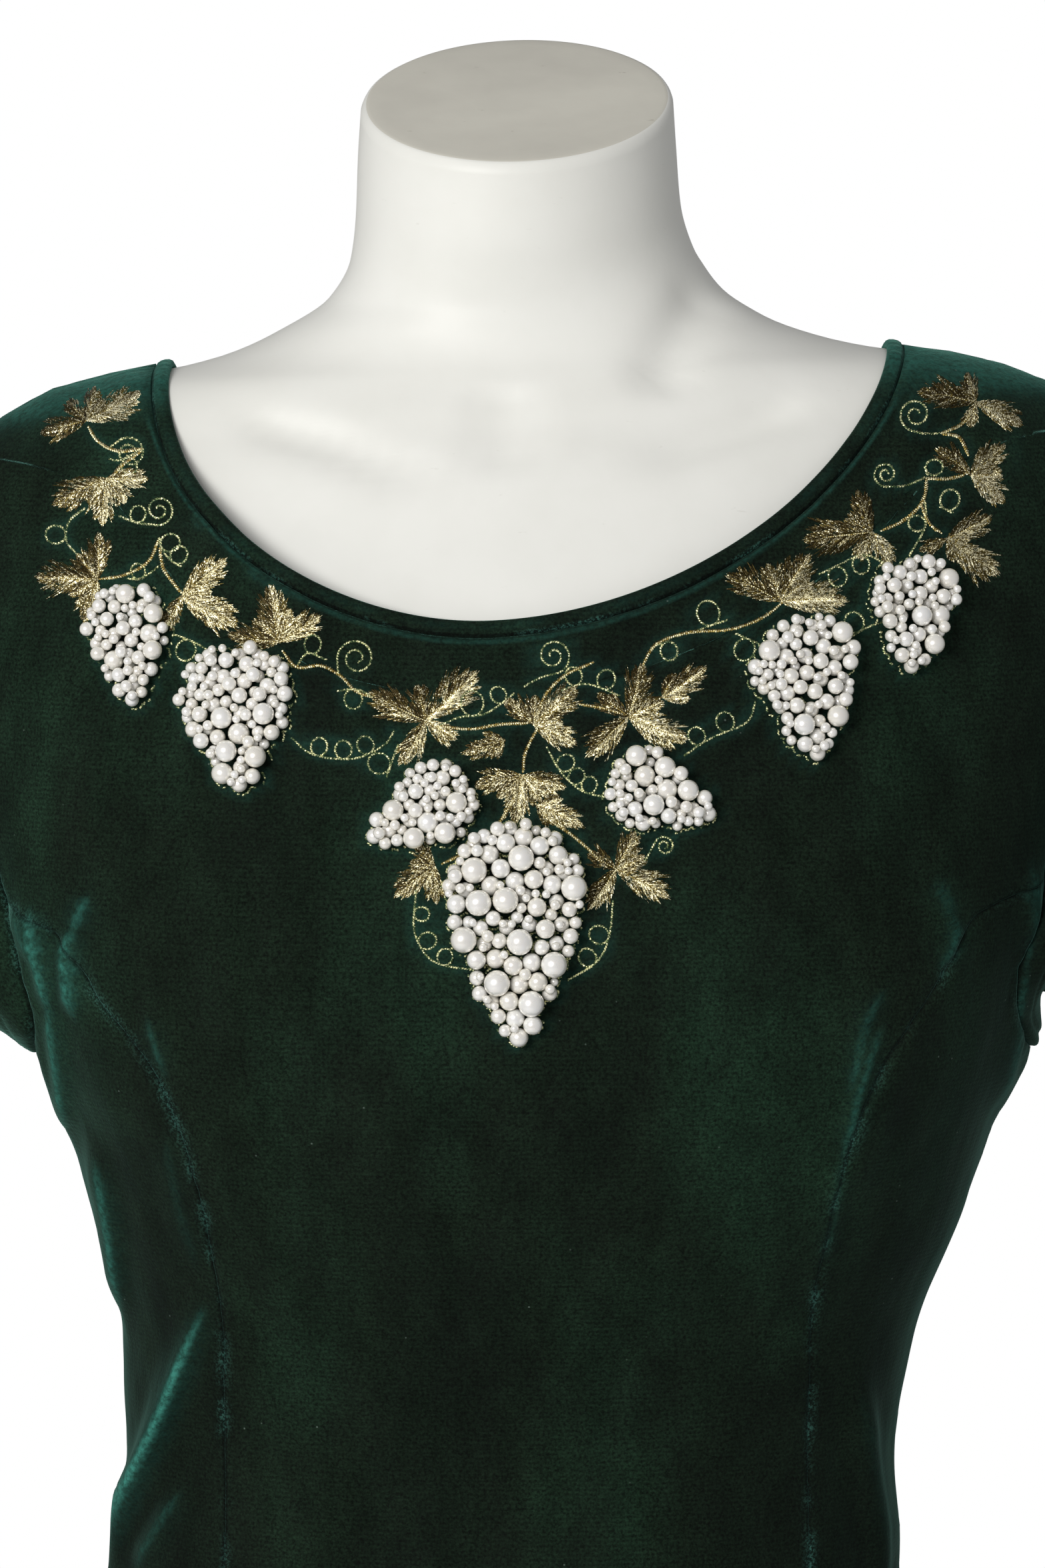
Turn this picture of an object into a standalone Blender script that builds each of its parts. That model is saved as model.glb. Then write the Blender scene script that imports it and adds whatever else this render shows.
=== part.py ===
"""Short-sleeved velvet cocktail dress on a limbless dress form with a round foot.

Metres, +Z up. The origin is on the floor, under the middle of the foot. The front faces -Y.
The dress is cut in panels: a centre front, two side fronts, two backs, two set-in sleeves and a
neck binding. Every panel is a wall on one worn surface, which is described by level sections. A
place on it is an angle (0 at the centre front, 90 at the side seam on +X, 180 at the centre back)
and a height. Lengths in the tables are millimetres.
"""

import math
import random

import bmesh
import bpy
from mathutils import Matrix, Vector
from mathutils.geometry import delaunay_2d_cdt

MM = 0.001

# ---- Driving sizes, in millimetres -------------------------------------------------------------
CLOTH = 2.0  # velvet with its lining
SEAM_GAP = 0.3  # between two panels at a seam
HEM_HEIGHT = 500.0
UNDERARM_HEIGHT = 1189.0
SHOULDER_POINT_HEIGHT = 1392.0
NECK_SIDE_HEIGHT = 1419.5  # where the neckline crosses the shoulder seam
FRONT_NECK_HEIGHT = 1332.5  # lowest point of the front neckline, under the binding
FRONT_NECK_SHIFT = -11.0  # the worn front neckline is lowest a little towards -X
FRONT_NECK_POWER = 1.7  # 2 is an ellipse, and less has straighter sides
BACK_NECK_HEIGHT = 1362.0
BACK_NECK_POWER = 2.0
BINDING_WIDTH = 6.0
WORN_TILT = 0.028  # the worn dress and its form stand higher on the +X side, by this slope
TILT_FROM, TILT_TO = 1100.0, 1300.0  # heights over which that slope begins
FORM_BOTTOM_HEIGHT = 830.0
POLE_RADIUS = 12.5
FOOT_RADIUS = 175.0
FOOT_THICKNESS = 8.0

# ---- Sections of the worn dress: half widths to -X and +X, depths, and squareness ---------------
DRESS_COLUMNS = ("height", "left", "right", "front", "back", "power")
DRESS_SECTIONS = (
    (470.0, 278.9, 278.9, 208.7, 210.5, 2.10),
    (500.0, 272.0, 272.0, 203.0, 205.0, 2.10),
    (600.0, 249.0, 249.0, 184.0, 187.0, 2.12),
    (700.0, 226.0, 226.0, 166.0, 169.0, 2.15),
    (800.0, 203.0, 202.0, 148.0, 151.0, 2.20),
    (860.0, 190.0, 187.0, 134.0, 139.0, 2.20),
    (900.0, 180.0, 175.0, 124.0, 130.0, 2.20),
    (940.0, 167.0, 161.0, 114.0, 118.0, 2.20),
    (980.0, 153.0, 145.0, 106.0, 105.0, 2.20),
    (1015.0, 135.0, 128.0, 101.0, 94.0, 2.25),
    (1049.0, 131.0, 126.0, 99.0, 87.0, 2.30),
    (1093.0, 132.0, 133.0, 106.0, 88.0, 2.30),
    (1138.0, 142.0, 150.0, 120.0, 94.0, 2.35),
    (1165.0, 149.5, 158.0, 128.0, 98.0, 2.40),
    (1189.0, 158.5, 167.0, 132.0, 102.0, 2.40),
    (1225.0, 171.0, 177.0, 132.0, 104.0, 2.40),
    (1260.0, 181.0, 185.0, 125.0, 104.0, 2.35),
    (1300.0, 189.0, 193.0, 113.0, 101.0, 2.30),
    (1330.0, 193.0, 197.0, 102.0, 96.0, 2.25),
    (1360.0, 192.5, 200.5, 90.0, 87.0, 2.15),
    (1375.0, 190.0, 198.0, 82.0, 81.0, 2.05),
    (1388.0, 185.5, 193.5, 74.0, 74.0, 2.00),
    (1396.0, 179.5, 187.5, 68.0, 68.0, 2.00),
    (1403.0, 172.0, 180.0, 63.0, 63.0, 2.00),
    (1409.0, 160.0, 168.0, 58.5, 59.0, 2.00),
    (1414.0, 146.5, 154.5, 54.0, 55.0, 2.00),
    (1417.5, 132.0, 140.0, 51.0, 52.5, 2.00),
    (1419.5, 120.0, 128.0, 49.5, 51.0, 2.00),
    (1426.0, 84.0, 92.0, 46.0, 48.0, 2.00),
)
# Distance of the princess seam from the centre front, at each height.
PRINCESS_COLUMNS = ("height", "from_centre")
PRINCESS_SEAM = (
    (500.0, 138.0),
    (700.0, 120.0),
    (860.0, 107.0),
    (950.0, 99.0),
    (1030.0, 96.0),
    (1082.0, 95.5),
    (1128.0, 98.0),
    (1154.0, 101.5),
    (1175.0, 106.0),
    (1193.0, 113.0),
    (1205.0, 120.5),
    (1218.0, 131.5),
    (1230.0, 139.5),
    (1238.0, 146.5),
)
# Soft ridges of the worn velvet, from one end to the other; a negative height is a trough.
FOLD_COLUMNS = ("from_angle", "from_height", "to_angle", "to_height", "width", "height")
FOLDS = (
    (-62.0, 1238.0, -78.0, 1168.0, 9.0, 3.5),
    (-66.0, 1160.0, -76.0, 1105.0, 11.0, 3.0),
    (-50.0, 1102.0, -84.0, 1008.0, 10.0, 4.0),
    (-60.0, 1000.0, -78.0, 900.0, 18.0, 5.0),
    (66.0, 1246.0, 84.0, 1176.0, 10.0, 3.5),
    (41.0, 1216.0, 39.0, 1150.0, 9.0, 2.0),
    (84.0, 1196.0, 92.0, 1150.0, 12.0, 2.5),
    (57.0, 1082.0, 70.0, 1010.0, 10.0, 3.0),
    (122.0, 1210.0, 104.0, 1120.0, 15.0, 4.0),
    (-122.0, 1210.0, -104.0, 1120.0, 15.0, 4.0),
    (150.0, 1105.0, 118.0, 1020.0, 16.0, 4.0),
    (-150.0, 1105.0, -118.0, 1020.0, 16.0, 4.0),
)
BUST_ANGLE, BUST_HEIGHT, BUST_SPREAD, BUST_FULLNESS = 40.0, 1205.0, 46.0, 5.0
FLUTE_COUNT, FLUTE_TOP_HEIGHT, FLUTE_DEPTH = 8, 900.0, 10.0

# The armhole's half angle, front and back, as a sum of sines of the way round it.
ARMHOLE_FRONT = (21.9, 4.9, 4.9)
ARMHOLE_BACK = (21.0, 2.0, 4.0)
ARMHOLE_STEPS = 28
PRINCESS_STEP = 5  # armhole steps from the underarm to the princess seam

# Sleeve hem: its middle, half width across, half depth and slope, on the +X side.
SLEEVE_HEM_CENTRE = (203.0, -2.0, 1217.0)
LEFT_SLEEVE_LIFT = 8.0
SLEEVE_HEM_HALF_WIDTH, SLEEVE_HEM_HALF_DEPTH, SLEEVE_HEM_SLOPE = 35.0, 61.0, 34.0
SLEEVE_ROWS = 7

# ---- Sections of the dress form ---------------------------------------------------------------
# It follows the inside of the dress closely on the shoulders, where the dress rests.
FORM_COLUMNS = ("height", "left", "right", "front", "back", "power", "forward")
FORM_SECTIONS = (
    (830.0, 160.0, 160.0, 104.0, 110.0, 2.20, 0.0),
    (845.0, 169.0, 169.0, 109.0, 115.0, 2.20, 0.0),
    (880.0, 168.0, 168.0, 108.0, 115.0, 2.20, 0.0),
    (940.0, 153.0, 152.0, 100.0, 104.0, 2.20, 0.0),
    (1000.0, 131.0, 127.0, 92.0, 88.0, 2.20, 0.0),
    (1050.0, 118.0, 114.0, 88.0, 77.0, 2.20, 0.0),
    (1090.0, 118.0, 118.0, 94.0, 77.0, 2.20, 0.0),
    (1140.0, 130.0, 132.0, 109.0, 84.0, 2.30, 0.0),
    (1190.0, 142.0, 146.0, 121.0, 91.0, 2.35, 0.0),
    (1230.0, 154.0, 158.0, 121.0, 95.0, 2.30, 0.0),
    (1270.0, 166.0, 170.0, 114.0, 94.0, 2.25, 0.0),
    (1310.0, 175.0, 180.0, 104.0, 90.0, 2.20, 0.0),
    (1345.0, 180.0, 188.0, 91.0, 83.0, 2.10, 0.0),
    (1366.0, 181.0, 189.0, 80.5, 76.0, 2.05, 0.0),
    (1386.0, 181.5, 189.5, 71.0, 70.5, 2.00, 0.0),
    (1398.5, 173.6, 181.6, 61.5, 61.5, 2.00, 0.0),
    (1405.1, 163.1, 171.1, 57.0, 57.5, 2.00, 0.0),
    (1410.5, 149.4, 157.4, 53.0, 54.0, 2.00, 0.0),
    (1414.6, 133.9, 141.9, 49.5, 51.0, 2.00, 0.0),
    (1417.1, 119.6, 127.6, 47.5, 49.5, 2.00, 0.0),
    (1418.8, 110.0, 117.0, 46.5, 49.0, 2.00, 0.5),
    (1422.5, 95.5, 101.5, 45.5, 48.5, 2.00, 1.0),
    (1430.0, 78.3, 82.0, 46.0, 49.0, 2.00, 2.0),
    (1440.0, 62.3, 69.0, 47.0, 49.5, 2.00, 3.5),
    (1453.0, 55.0, 58.5, 48.5, 50.0, 2.00, 5.5),
    (1468.0, 53.2, 54.0, 50.0, 50.5, 2.00, 8.0),
    (1486.0, 52.5, 52.5, 51.0, 51.0, 2.00, 10.5),
    (1503.8, 51.3, 51.3, 51.5, 51.5, 2.00, 13.0),
)
NECK_TILT_FROM, NECK_TILT = 1425.0, 23.5  # the neck's sections lean forward above this height
FORM_RING_POINTS = 32

# ---- Pearl bunches sewn to the centre front -------------------------------------------------------
# Middle, size, turn of the tip from straight down (degrees, positive towards +X), and seed.
BUNCH_COLUMNS = ("name", "x", "height", "width", "length", "turn", "pearl_scale", "seed")
BUNCHES = (
    ("pearls_1", -124.0, 1331.5, 27.0, 39.0, 4.0, 0.76, 11),
    ("pearls_2", -89.0, 1308.0, 37.5, 46.0, 3.0, 0.84, 12),
    ("pearls_3", -31.0, 1278.5, 26.5, 37.0, -62.0, 0.82, 13),
    ("pearls_4", -0.5, 1239.5, 46.0, 70.0, 2.0, 1.0, 14),
    ("pearls_5", 46.0, 1281.5, 25.5, 37.0, 66.0, 0.82, 15),
    ("pearls_6", 92.5, 1312.5, 34.5, 46.0, 8.0, 0.84, 16),
    ("pearls_7", 127.0, 1334.0, 28.5, 37.0, -4.0, 0.80, 17),
)
# Radius of a pearl, how often one is picked, and the rings of points on its dome.
PEARL_COLUMNS = ("radius", "share", "rings")
PEARLS = ((4.2, 0.16, 2), (3.1, 0.34, 1), (2.5, 0.36, 0), (2.05, 0.14, 0))
PEARL_NEARNESS = 0.955  # distance between two touching pearls as seen, as a share of their radii's sum
PEARL_MOST_LIFT = 3.0  # how far a pearl may stand off the cloth on its neighbours
BUNCH_BACKING = 1.5

PI = math.pi


# ---- Small tools -----------------------------------------------------------------------------
def smooth_curve(xs, ys):
    """A function through the points that doesn't overshoot between them (monotone cubic)."""
    steps = [b - a for a, b in zip(xs, xs[1:])]
    slopes = [(b - a) / step for a, b, step in zip(ys, ys[1:], steps)]
    tangents = [slopes[0]]
    for before, after, h0, h1 in zip(slopes, slopes[1:], steps, steps[1:]):
        if before * after <= 0:
            tangents.append(0.0)
            continue
        w0, w1 = 2 * h1 + h0, h1 + 2 * h0
        tangents.append((w0 + w1) / (w0 / before + w1 / after))
    tangents.append(slopes[-1])

    def value(x):
        x = min(max(x, xs[0]), xs[-1])
        i = 0
        while i < len(steps) - 1 and x > xs[i + 1]:
            i += 1
        h, t = steps[i], (x - xs[i]) / steps[i]
        return (
            (1 + 2 * t) * (1 - t) ** 2 * ys[i]
            + t * (1 - t) ** 2 * h * tangents[i]
            + t * t * (3 - 2 * t) * ys[i + 1]
            + t * t * (t - 1) * h * tangents[i + 1]
        )

    return value


def curves_of(columns, rows):
    """One smooth function of the first column for each other column, by name."""
    data = list(zip(*rows))
    return {name: smooth_curve(data[0], data[i]) for i, name in enumerate(columns) if i}


def bisect(function, low, high, steps=40):
    """Where a function that rises from low to high crosses zero."""
    for _ in range(steps):
        middle = (low + high) / 2
        low, high = (middle, high) if function(middle) < 0 else (low, middle)
    return (low + high) / 2


def signed_power(value, power):
    return math.copysign(abs(value) ** power, value)


def bell(distance, width):
    return math.exp(-((distance / width) ** 2))


def ease_in(value):
    """0 below 0, 1 above 1, and smooth between."""
    value = min(max(value, 0.0), 1.0)
    return value * value * (3 - 2 * value)


def mix(a, b, share):
    return a + (b - a) * share


def unit(degrees):
    return math.cos(math.radians(degrees)), math.sin(math.radians(degrees))


# ---- The worn surface ------------------------------------------------------------------------
DRESS = curves_of(DRESS_COLUMNS, DRESS_SECTIONS)
FORM = curves_of(FORM_COLUMNS, FORM_SECTIONS)


def level_point(angle, height, left, right, front, back, power):
    """A point of a rounded level section."""
    cos, sin = unit(angle)
    half_width, depth = (right if sin > 0 else left), (front if cos > 0 else back)
    x = half_width * signed_power(sin, 2 / power)
    y = -depth * signed_power(cos, 2 / power)
    return Vector((x, y, height))


def worn(point):
    """A point of the upright dress or form, moved up or down by the worn tilt."""
    share = ease_in((point.z - TILT_FROM) / (TILT_TO - TILT_FROM))
    return Vector((point.x, point.y, point.z + WORN_TILT * share * point.x))


def base_point(angle, height):
    sizes = {name: DRESS[name](height) for name in DRESS_COLUMNS[1:]}
    return worn(level_point(angle, height, **sizes))


def across(angle, towards):
    """The difference of two angles, from -180 to 180."""
    return (angle - towards + 180) % 360 - 180


def fold_height(angle, height, fold):
    from_angle, from_height, to_angle, to_height, width, rise = fold
    girth = 2.4  # millimetres of cloth for each degree, nearly
    along_x, along_z = across(to_angle, from_angle) * girth, to_height - from_height
    x, z = across(angle, from_angle) * girth, height - from_height
    length = math.hypot(along_x, along_z)
    share = (x * along_x + z * along_z) / length**2
    if not -0.25 < share < 1.25:
        return 0.0
    off = (x * along_z - z * along_x) / length
    ends = ease_in((share + 0.25) / 0.5) * ease_in((1.25 - share) / 0.5)
    return rise * bell(off, width) * ends


def relief(angle, height):
    """How far the velvet stands out from its level section: bust, folds and the skirt's flutes."""
    rise = sum(fold_height(angle, height, fold) for fold in FOLDS)
    for side in (-1, 1):
        off = across(angle, side * BUST_ANGLE) * 2.4
        rise += BUST_FULLNESS * bell(math.hypot(off, height - BUST_HEIGHT), BUST_SPREAD)
    down = ease_in((FLUTE_TOP_HEIGHT - height) / (FLUTE_TOP_HEIGHT - HEM_HEIGHT))
    rise += FLUTE_DEPTH * down * math.cos(math.radians(FLUTE_COUNT * angle + 25))
    return rise


def normal_of(surface, angle, height, step=0.4):
    along = surface(angle + step, height) - surface(angle - step, height)
    up = surface(angle, height + step) - surface(angle, height - step)
    return along.cross(up).normalized()


def dress_point(angle, height):
    """A point on the outside of the dress."""
    return base_point(angle, height) + relief(angle, height) * normal_of(base_point, angle, height)


def dress_pair(angle, height):
    """The outside of the wall at a place, and its inside."""
    outer = dress_point(angle, height)
    return outer, outer - CLOTH * normal_of(dress_point, angle, height)


def angle_at(x, height):
    """The angle of the front surface's point that is x from the centre, before its relief."""
    half_width = DRESS["right"](height) if x > 0 else DRESS["left"](height)
    share = min(abs(x) / half_width, 1.0) ** (DRESS["power"](height) / 2)
    return math.copysign(math.degrees(math.asin(share)), x)


def front_place(x, height):
    """The outside point and normal of the centre front at x from the centre."""
    angle = angle_at(x, height)
    return dress_point(angle, height), normal_of(dress_point, angle, height)


# ---- Seam lines ------------------------------------------------------------------------------
def armhole_half_angle(way, waves):
    """Half angle of the armhole; way is 0 at the underarm and 180 at the shoulder point."""
    return sum(size * math.sin(math.radians((i + 1) * way)) for i, size in enumerate(waves))


def armhole_height(way, spare=0.0):
    low, high = UNDERARM_HEIGHT - spare, SHOULDER_POINT_HEIGHT + spare / 2
    return low + (high - low) * (1 - math.cos(math.radians(way))) / 2


def seam_angle(angle, height, towards, gap=SEAM_GAP / 2):
    """The angle beside a seam at which the cloth is a gap away from it."""
    seam = base_point(angle, height)

    def spare(off):
        return (base_point(angle + towards * off, height) - seam).length - gap

    return angle + towards * bisect(spare, 0.0, 2.0)


def beside_seam(seam, height, towards):
    """The angle a gap beside a seam, which is wider across where the seam slopes."""
    slope = (seam(height + 1) - seam(height - 1)) / 2 * 2.4
    return seam_angle(seam(height), height, towards, SEAM_GAP / 2 * math.hypot(1, slope))


def armhole_edge(way, waves, back=False):
    """A panel's edge on the armhole, as (angle, height): a gap outside the sleeve's line."""
    turn = 1 if back else -1
    height = armhole_height(way, SEAM_GAP)
    angle = 90 + turn * armhole_half_angle(way, waves)
    gap = SEAM_GAP * (0.7 + 0.6 * math.sin(math.radians(way)))
    return seam_angle(angle, height, turn, gap), height


PRINCESS_WAY = 360 / ARMHOLE_STEPS * PRINCESS_STEP


def princess_curve(side):
    """The princess seam's angle at a height, up to its end in the armhole."""
    heights = [row[0] for row in PRINCESS_SEAM] + [armhole_height(PRINCESS_WAY)]
    angles = [abs(angle_at(side * row[1], row[0])) for row in PRINCESS_SEAM]
    angles.append(90 - armhole_half_angle(PRINCESS_WAY, ARMHOLE_FRONT))
    return smooth_curve(heights, angles)


PRINCESS = {side: princess_curve(side) for side in (-1, 1)}


def neckline(middle_height, shift, power, front):
    """The height of a panel's neck edge at an angle from its centre line: a rounded scoop."""
    drop = NECK_SIDE_HEIGHT - middle_height

    def height_at(from_centre):
        angle = from_centre if front else 180 - from_centre
        half_width = abs(base_point(math.copysign(90, from_centre), NECK_SIDE_HEIGHT).x)

        def spare(height):
            depth = min((NECK_SIDE_HEIGHT - height) / drop, 1.0)
            scoop = half_width * math.sqrt(1 - depth**power)
            return scoop - abs(base_point(angle, height).x - shift * depth)

        return bisect(spare, middle_height, NECK_SIDE_HEIGHT)

    return height_at


FRONT_NECK = neckline(FRONT_NECK_HEIGHT, FRONT_NECK_SHIFT, FRONT_NECK_POWER, front=True)
BACK_NECK = neckline(BACK_NECK_HEIGHT, 0.0, BACK_NECK_POWER, front=False)


# ---- Meshes -----------------------------------------------------------------------------------
def material(name, colour, roughness, metallic=0.0):
    made = bpy.data.materials.new(name)
    made.use_nodes = True
    shader = made.node_tree.nodes["Principled BSDF"]
    shader.inputs["Base Color"].default_value = (*colour, 1.0)
    shader.inputs["Roughness"].default_value = roughness
    shader.inputs["Metallic"].default_value = metallic
    return made


def add_object(name, mesh, collection, finish):
    for polygon in mesh.polygons:
        polygon.use_smooth = True
    mesh.set_sharp_from_angle(angle=math.radians(40))
    mesh.materials.append(finish)
    made = bpy.data.objects.new(name, mesh)
    collection.objects.link(made)
    return made


def mesh_of(name, points, faces):
    """A mesh in metres from points in millimetres, with its faces turned outwards."""
    mesh = bpy.data.meshes.new(name)
    mesh.from_pydata([tuple(p * MM) for p in points], [], faces)
    work = bmesh.new()
    work.from_mesh(mesh)
    bmesh.ops.recalc_face_normals(work, faces=work.faces)
    work.to_mesh(mesh)
    work.free()
    return mesh


def wall_mesh(name, outer, inner, ring=False):
    """A closed wall between two grids of points of one size; ring joins its first and last column."""
    rows, columns = len(outer), len(outer[0])
    points = [p for row in outer for p in row] + [p for row in inner for p in row]
    layer = rows * columns

    def at(row, column, inside):
        return layer * inside + row * columns + column % columns

    faces = []
    around = columns if ring else columns - 1
    for row in range(rows - 1):
        for column in range(around):
            corners = ((row, column), (row, column + 1), (row + 1, column + 1), (row + 1, column))
            faces.append([at(*corner, 0) for corner in corners])
            faces.append([at(*corner, 1) for corner in reversed(corners)])
    for row in (0, rows - 1):
        for column in range(around):
            faces.append([at(row, column, 0), at(row, column, 1),
                          at(row, column + 1, 1), at(row, column + 1, 0)])
    if not ring:
        for column in (0, columns - 1):
            for row in range(rows - 1):
                faces.append([at(row, column, 0), at(row, column, 1),
                              at(row + 1, column, 1), at(row + 1, column, 0)])
    return mesh_of(name, points, faces)


def panel(name, places, collection, finish):
    """A cloth panel from rows of places (angle, height) on the worn surface."""
    pairs = [[dress_pair(*place) for place in row] for row in places]
    outer = [[pair[0] for pair in row] for row in pairs]
    inner = [[pair[1] for pair in row] for row in pairs]
    return add_object(name, wall_mesh(name, outer, inner), collection, finish)


# ---- Panels -----------------------------------------------------------------------------------
SKIRT_ROWS = (500.0, 560.0, 630.0, 700.0, 765.0, 825.0, 875.0, 915.0, 950.0, 980.0, 1006.0)
WAIST_ROWS = (1030.0, 1053.0, 1076.0, 1099.0, 1122.0, 1144.0, 1166.0)
LEVEL_ROWS = SKIRT_ROWS + WAIST_ROWS  # rows that are level right across a panel
LAST_LEVEL = LEVEL_ROWS[-1]
# Columns of a half front or a back, from its middle (0) to its edge (1), closer near the neck.
HALF_COLUMNS = (0.0, 0.12, 0.24, 0.36, 0.48, 0.59, 0.69, 0.78, 0.86, 0.93, 1.0)
SIDE_COLUMNS = 2 * PRINCESS_STEP
RISE_SHARES = (0.25, 0.5, 0.72, 0.88, 1.0)  # rows from the last level one to the armhole
SHOULDER_SHARES = (0.30, 0.55, 0.75, 0.90, 1.0)  # rows from the armhole to the neckline


def edge_rows(seam, waves, first_step, back=False):
    """Places up a panel's outer edge: its seam, then the armhole, then the shoulder."""
    turn = 1 if back else -1
    rows = [(beside_seam(seam, height, turn), height) for height in LEVEL_ROWS]
    corner, corner_height = armhole_edge(360 * first_step / ARMHOLE_STEPS, waves, back)
    if first_step:
        for share in RISE_SHARES[:-1]:
            height = mix(LAST_LEVEL, corner_height, share)
            rows.append((beside_seam(seam, height, turn), height))
        corner = min(corner, beside_seam(seam, corner_height, turn))
    rows.append((corner, corner_height))
    for step in range(first_step + 1, ARMHOLE_STEPS // 2 + 1):
        rows.append(armhole_edge(360 * step / ARMHOLE_STEPS, waves, back))
    top = rows[-1][1]
    for share in SHOULDER_SHARES:
        height = mix(top, NECK_SIDE_HEIGHT, share)
        rows.append((seam_angle(90, height, turn), height))
    return rows


def rise_to_neck(height, neck_height):
    """A column's height in the row whose outer edge is at a height."""
    if height <= LAST_LEVEL:
        return height
    share = (height - LAST_LEVEL) / (NECK_SIDE_HEIGHT - LAST_LEVEL)
    return mix(LAST_LEVEL, neck_height, share)


def make_centre_front(collection, finish):
    first = PRINCESS_STEP
    left, right = (edge_rows(PRINCESS[side], ARMHOLE_FRONT, first) for side in (-1, 1))
    places = []
    for (left_edge, height), (right_edge, _) in zip(left, right):
        line = [(-left_edge * c, rise_to_neck(height, FRONT_NECK(-90 * c)))
                for c in reversed(HALF_COLUMNS[1:])]
        line += [(right_edge * c, rise_to_neck(height, FRONT_NECK(90 * c))) for c in HALF_COLUMNS]
        places.append(line)
    return panel("front_centre", places, collection, finish)


def make_back(name, side, collection, finish):
    """A back panel, from the centre back to the side seam, armhole and shoulder."""
    places = []
    for edge, height in edge_rows(lambda height: 90, ARMHOLE_BACK, 0, back=True):
        line = []
        for column in HALF_COLUMNS:
            place_height = rise_to_neck(height, BACK_NECK(90 * column))
            middle = seam_angle(180, place_height, -1)
            line.append((side * mix(middle, edge, column), place_height))
        places.append(line)
    return panel(name, places, collection, finish)


def make_side_front(name, side, collection, finish):
    """The panel between the princess seam and the side seam, up to the armhole."""

    def place(share, height):
        low = beside_seam(PRINCESS[side], height, 1)
        return mix(low, seam_angle(90, height, -1), share), height

    corners = [armhole_edge(360 * step / ARMHOLE_STEPS, ARMHOLE_FRONT)
               for step in range(PRINCESS_STEP, -1, -1)]
    tops = [corners[0]]
    for before, after in zip(corners, corners[1:]):
        tops += [tuple(mix(a, b, 0.5) for a, b in zip(before, after)), after]
    shares = []
    for angle, height in tops:
        low, high = place(0, height)[0], place(1, height)[0]
        shares.append(min(max((angle - low) / (high - low), 0.0), 1.0))
    columns = [i / SIDE_COLUMNS for i in range(SIDE_COLUMNS + 1)]
    places = [[place(column, height) for column in columns] for height in LEVEL_ROWS]
    for up in RISE_SHARES:
        places.append([place(mix(column, share, up), mix(LAST_LEVEL, top[1], up))
                       for column, share, top in zip(columns, shares, tops)])
    places = [[(side * angle, height) for angle, height in row] for row in places]
    return panel(name, places, collection, finish)


# ---- Sleeves ----------------------------------------------------------------------------------
def armhole_place(way, side):
    """The place on the worn surface at a way round the armhole: 0 underarm, 90 front, 180 top."""
    waves = ARMHOLE_FRONT if way <= 180 else ARMHOLE_BACK
    climb = way if way <= 180 else 360 - way
    off = armhole_half_angle(climb, waves)
    return side * (90 - off if way <= 180 else 90 + off), armhole_height(climb)


def sleeve_hem_point(way, side):
    cos, sin = unit(way)
    slope_cos, slope_sin = unit(SLEEVE_HEM_SLOPE)
    reach = -SLEEVE_HEM_HALF_WIDTH * cos
    x, y, z = SLEEVE_HEM_CENTRE
    y -= SLEEVE_HEM_HALF_DEPTH * sin
    z += LEFT_SLEEVE_LIFT if side > 0 else 0.0
    return worn(Vector((side * (x + reach * slope_cos), y, z + reach * slope_sin)))


def sleeve_point(way, side, share):
    """A point of the sleeve's outside, from the armhole (0) to the hem (1)."""
    start, end = dress_point(*armhole_place(way, side)), sleeve_hem_point(way, side)
    cap = (1 - math.cos(math.radians(way))) / 2  # 0 at the underarm, 1 at the shoulder point
    slope_cos, slope_sin = unit(SLEEVE_HEM_SLOPE)
    leave = Vector((side, 0, mix(0.12, -0.30, cap))).normalized() * mix(6.0, 34.0, cap)
    arrive = Vector((side * slope_sin, 0, -slope_cos)) * mix(4.0, 52.0, cap)
    weights = ((1 - share) ** 3, 3 * (1 - share) ** 2 * share, 3 * (1 - share) * share**2, share**3)
    corners = (start, start + leave, end - arrive, end)
    return sum((corner * weight for corner, weight in zip(corners, weights)), Vector())


def make_sleeve(name, side, collection, finish):
    ways = [360 * i / ARMHOLE_STEPS for i in range(ARMHOLE_STEPS)]
    outer, inner = [], []
    for row in range(SLEEVE_ROWS + 1):
        share = row / SLEEVE_ROWS
        outer.append([sleeve_point(way, side, share) for way in ways])
        if row == 0:
            inner.append([dress_pair(*armhole_place(way, side))[1] for way in ways])
            continue
        line = []
        for way, point in zip(ways, outer[-1]):
            along = sleeve_point(way + 3, side, share) - sleeve_point(way - 3, side, share)
            down = point - sleeve_point(way, side, share - 0.03)
            line.append(point - CLOTH * side * down.cross(along).normalized())
        inner.append(line)
    return add_object(name, wall_mesh(name, outer, inner, ring=True), collection, finish)


# ---- Neck binding ------------------------------------------------------------------------------
def neck_edge(way):
    """The panels' neck edge at a way round it: 0 at the centre front, 180 at the centre back."""
    way %= 360
    from_front = way if way <= 180 else 360 - way
    side = 1 if way <= 180 else -1
    if from_front <= 90:
        return side * from_front, FRONT_NECK(side * from_front)
    return side * from_front, BACK_NECK(side * (180 - from_front))


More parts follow.
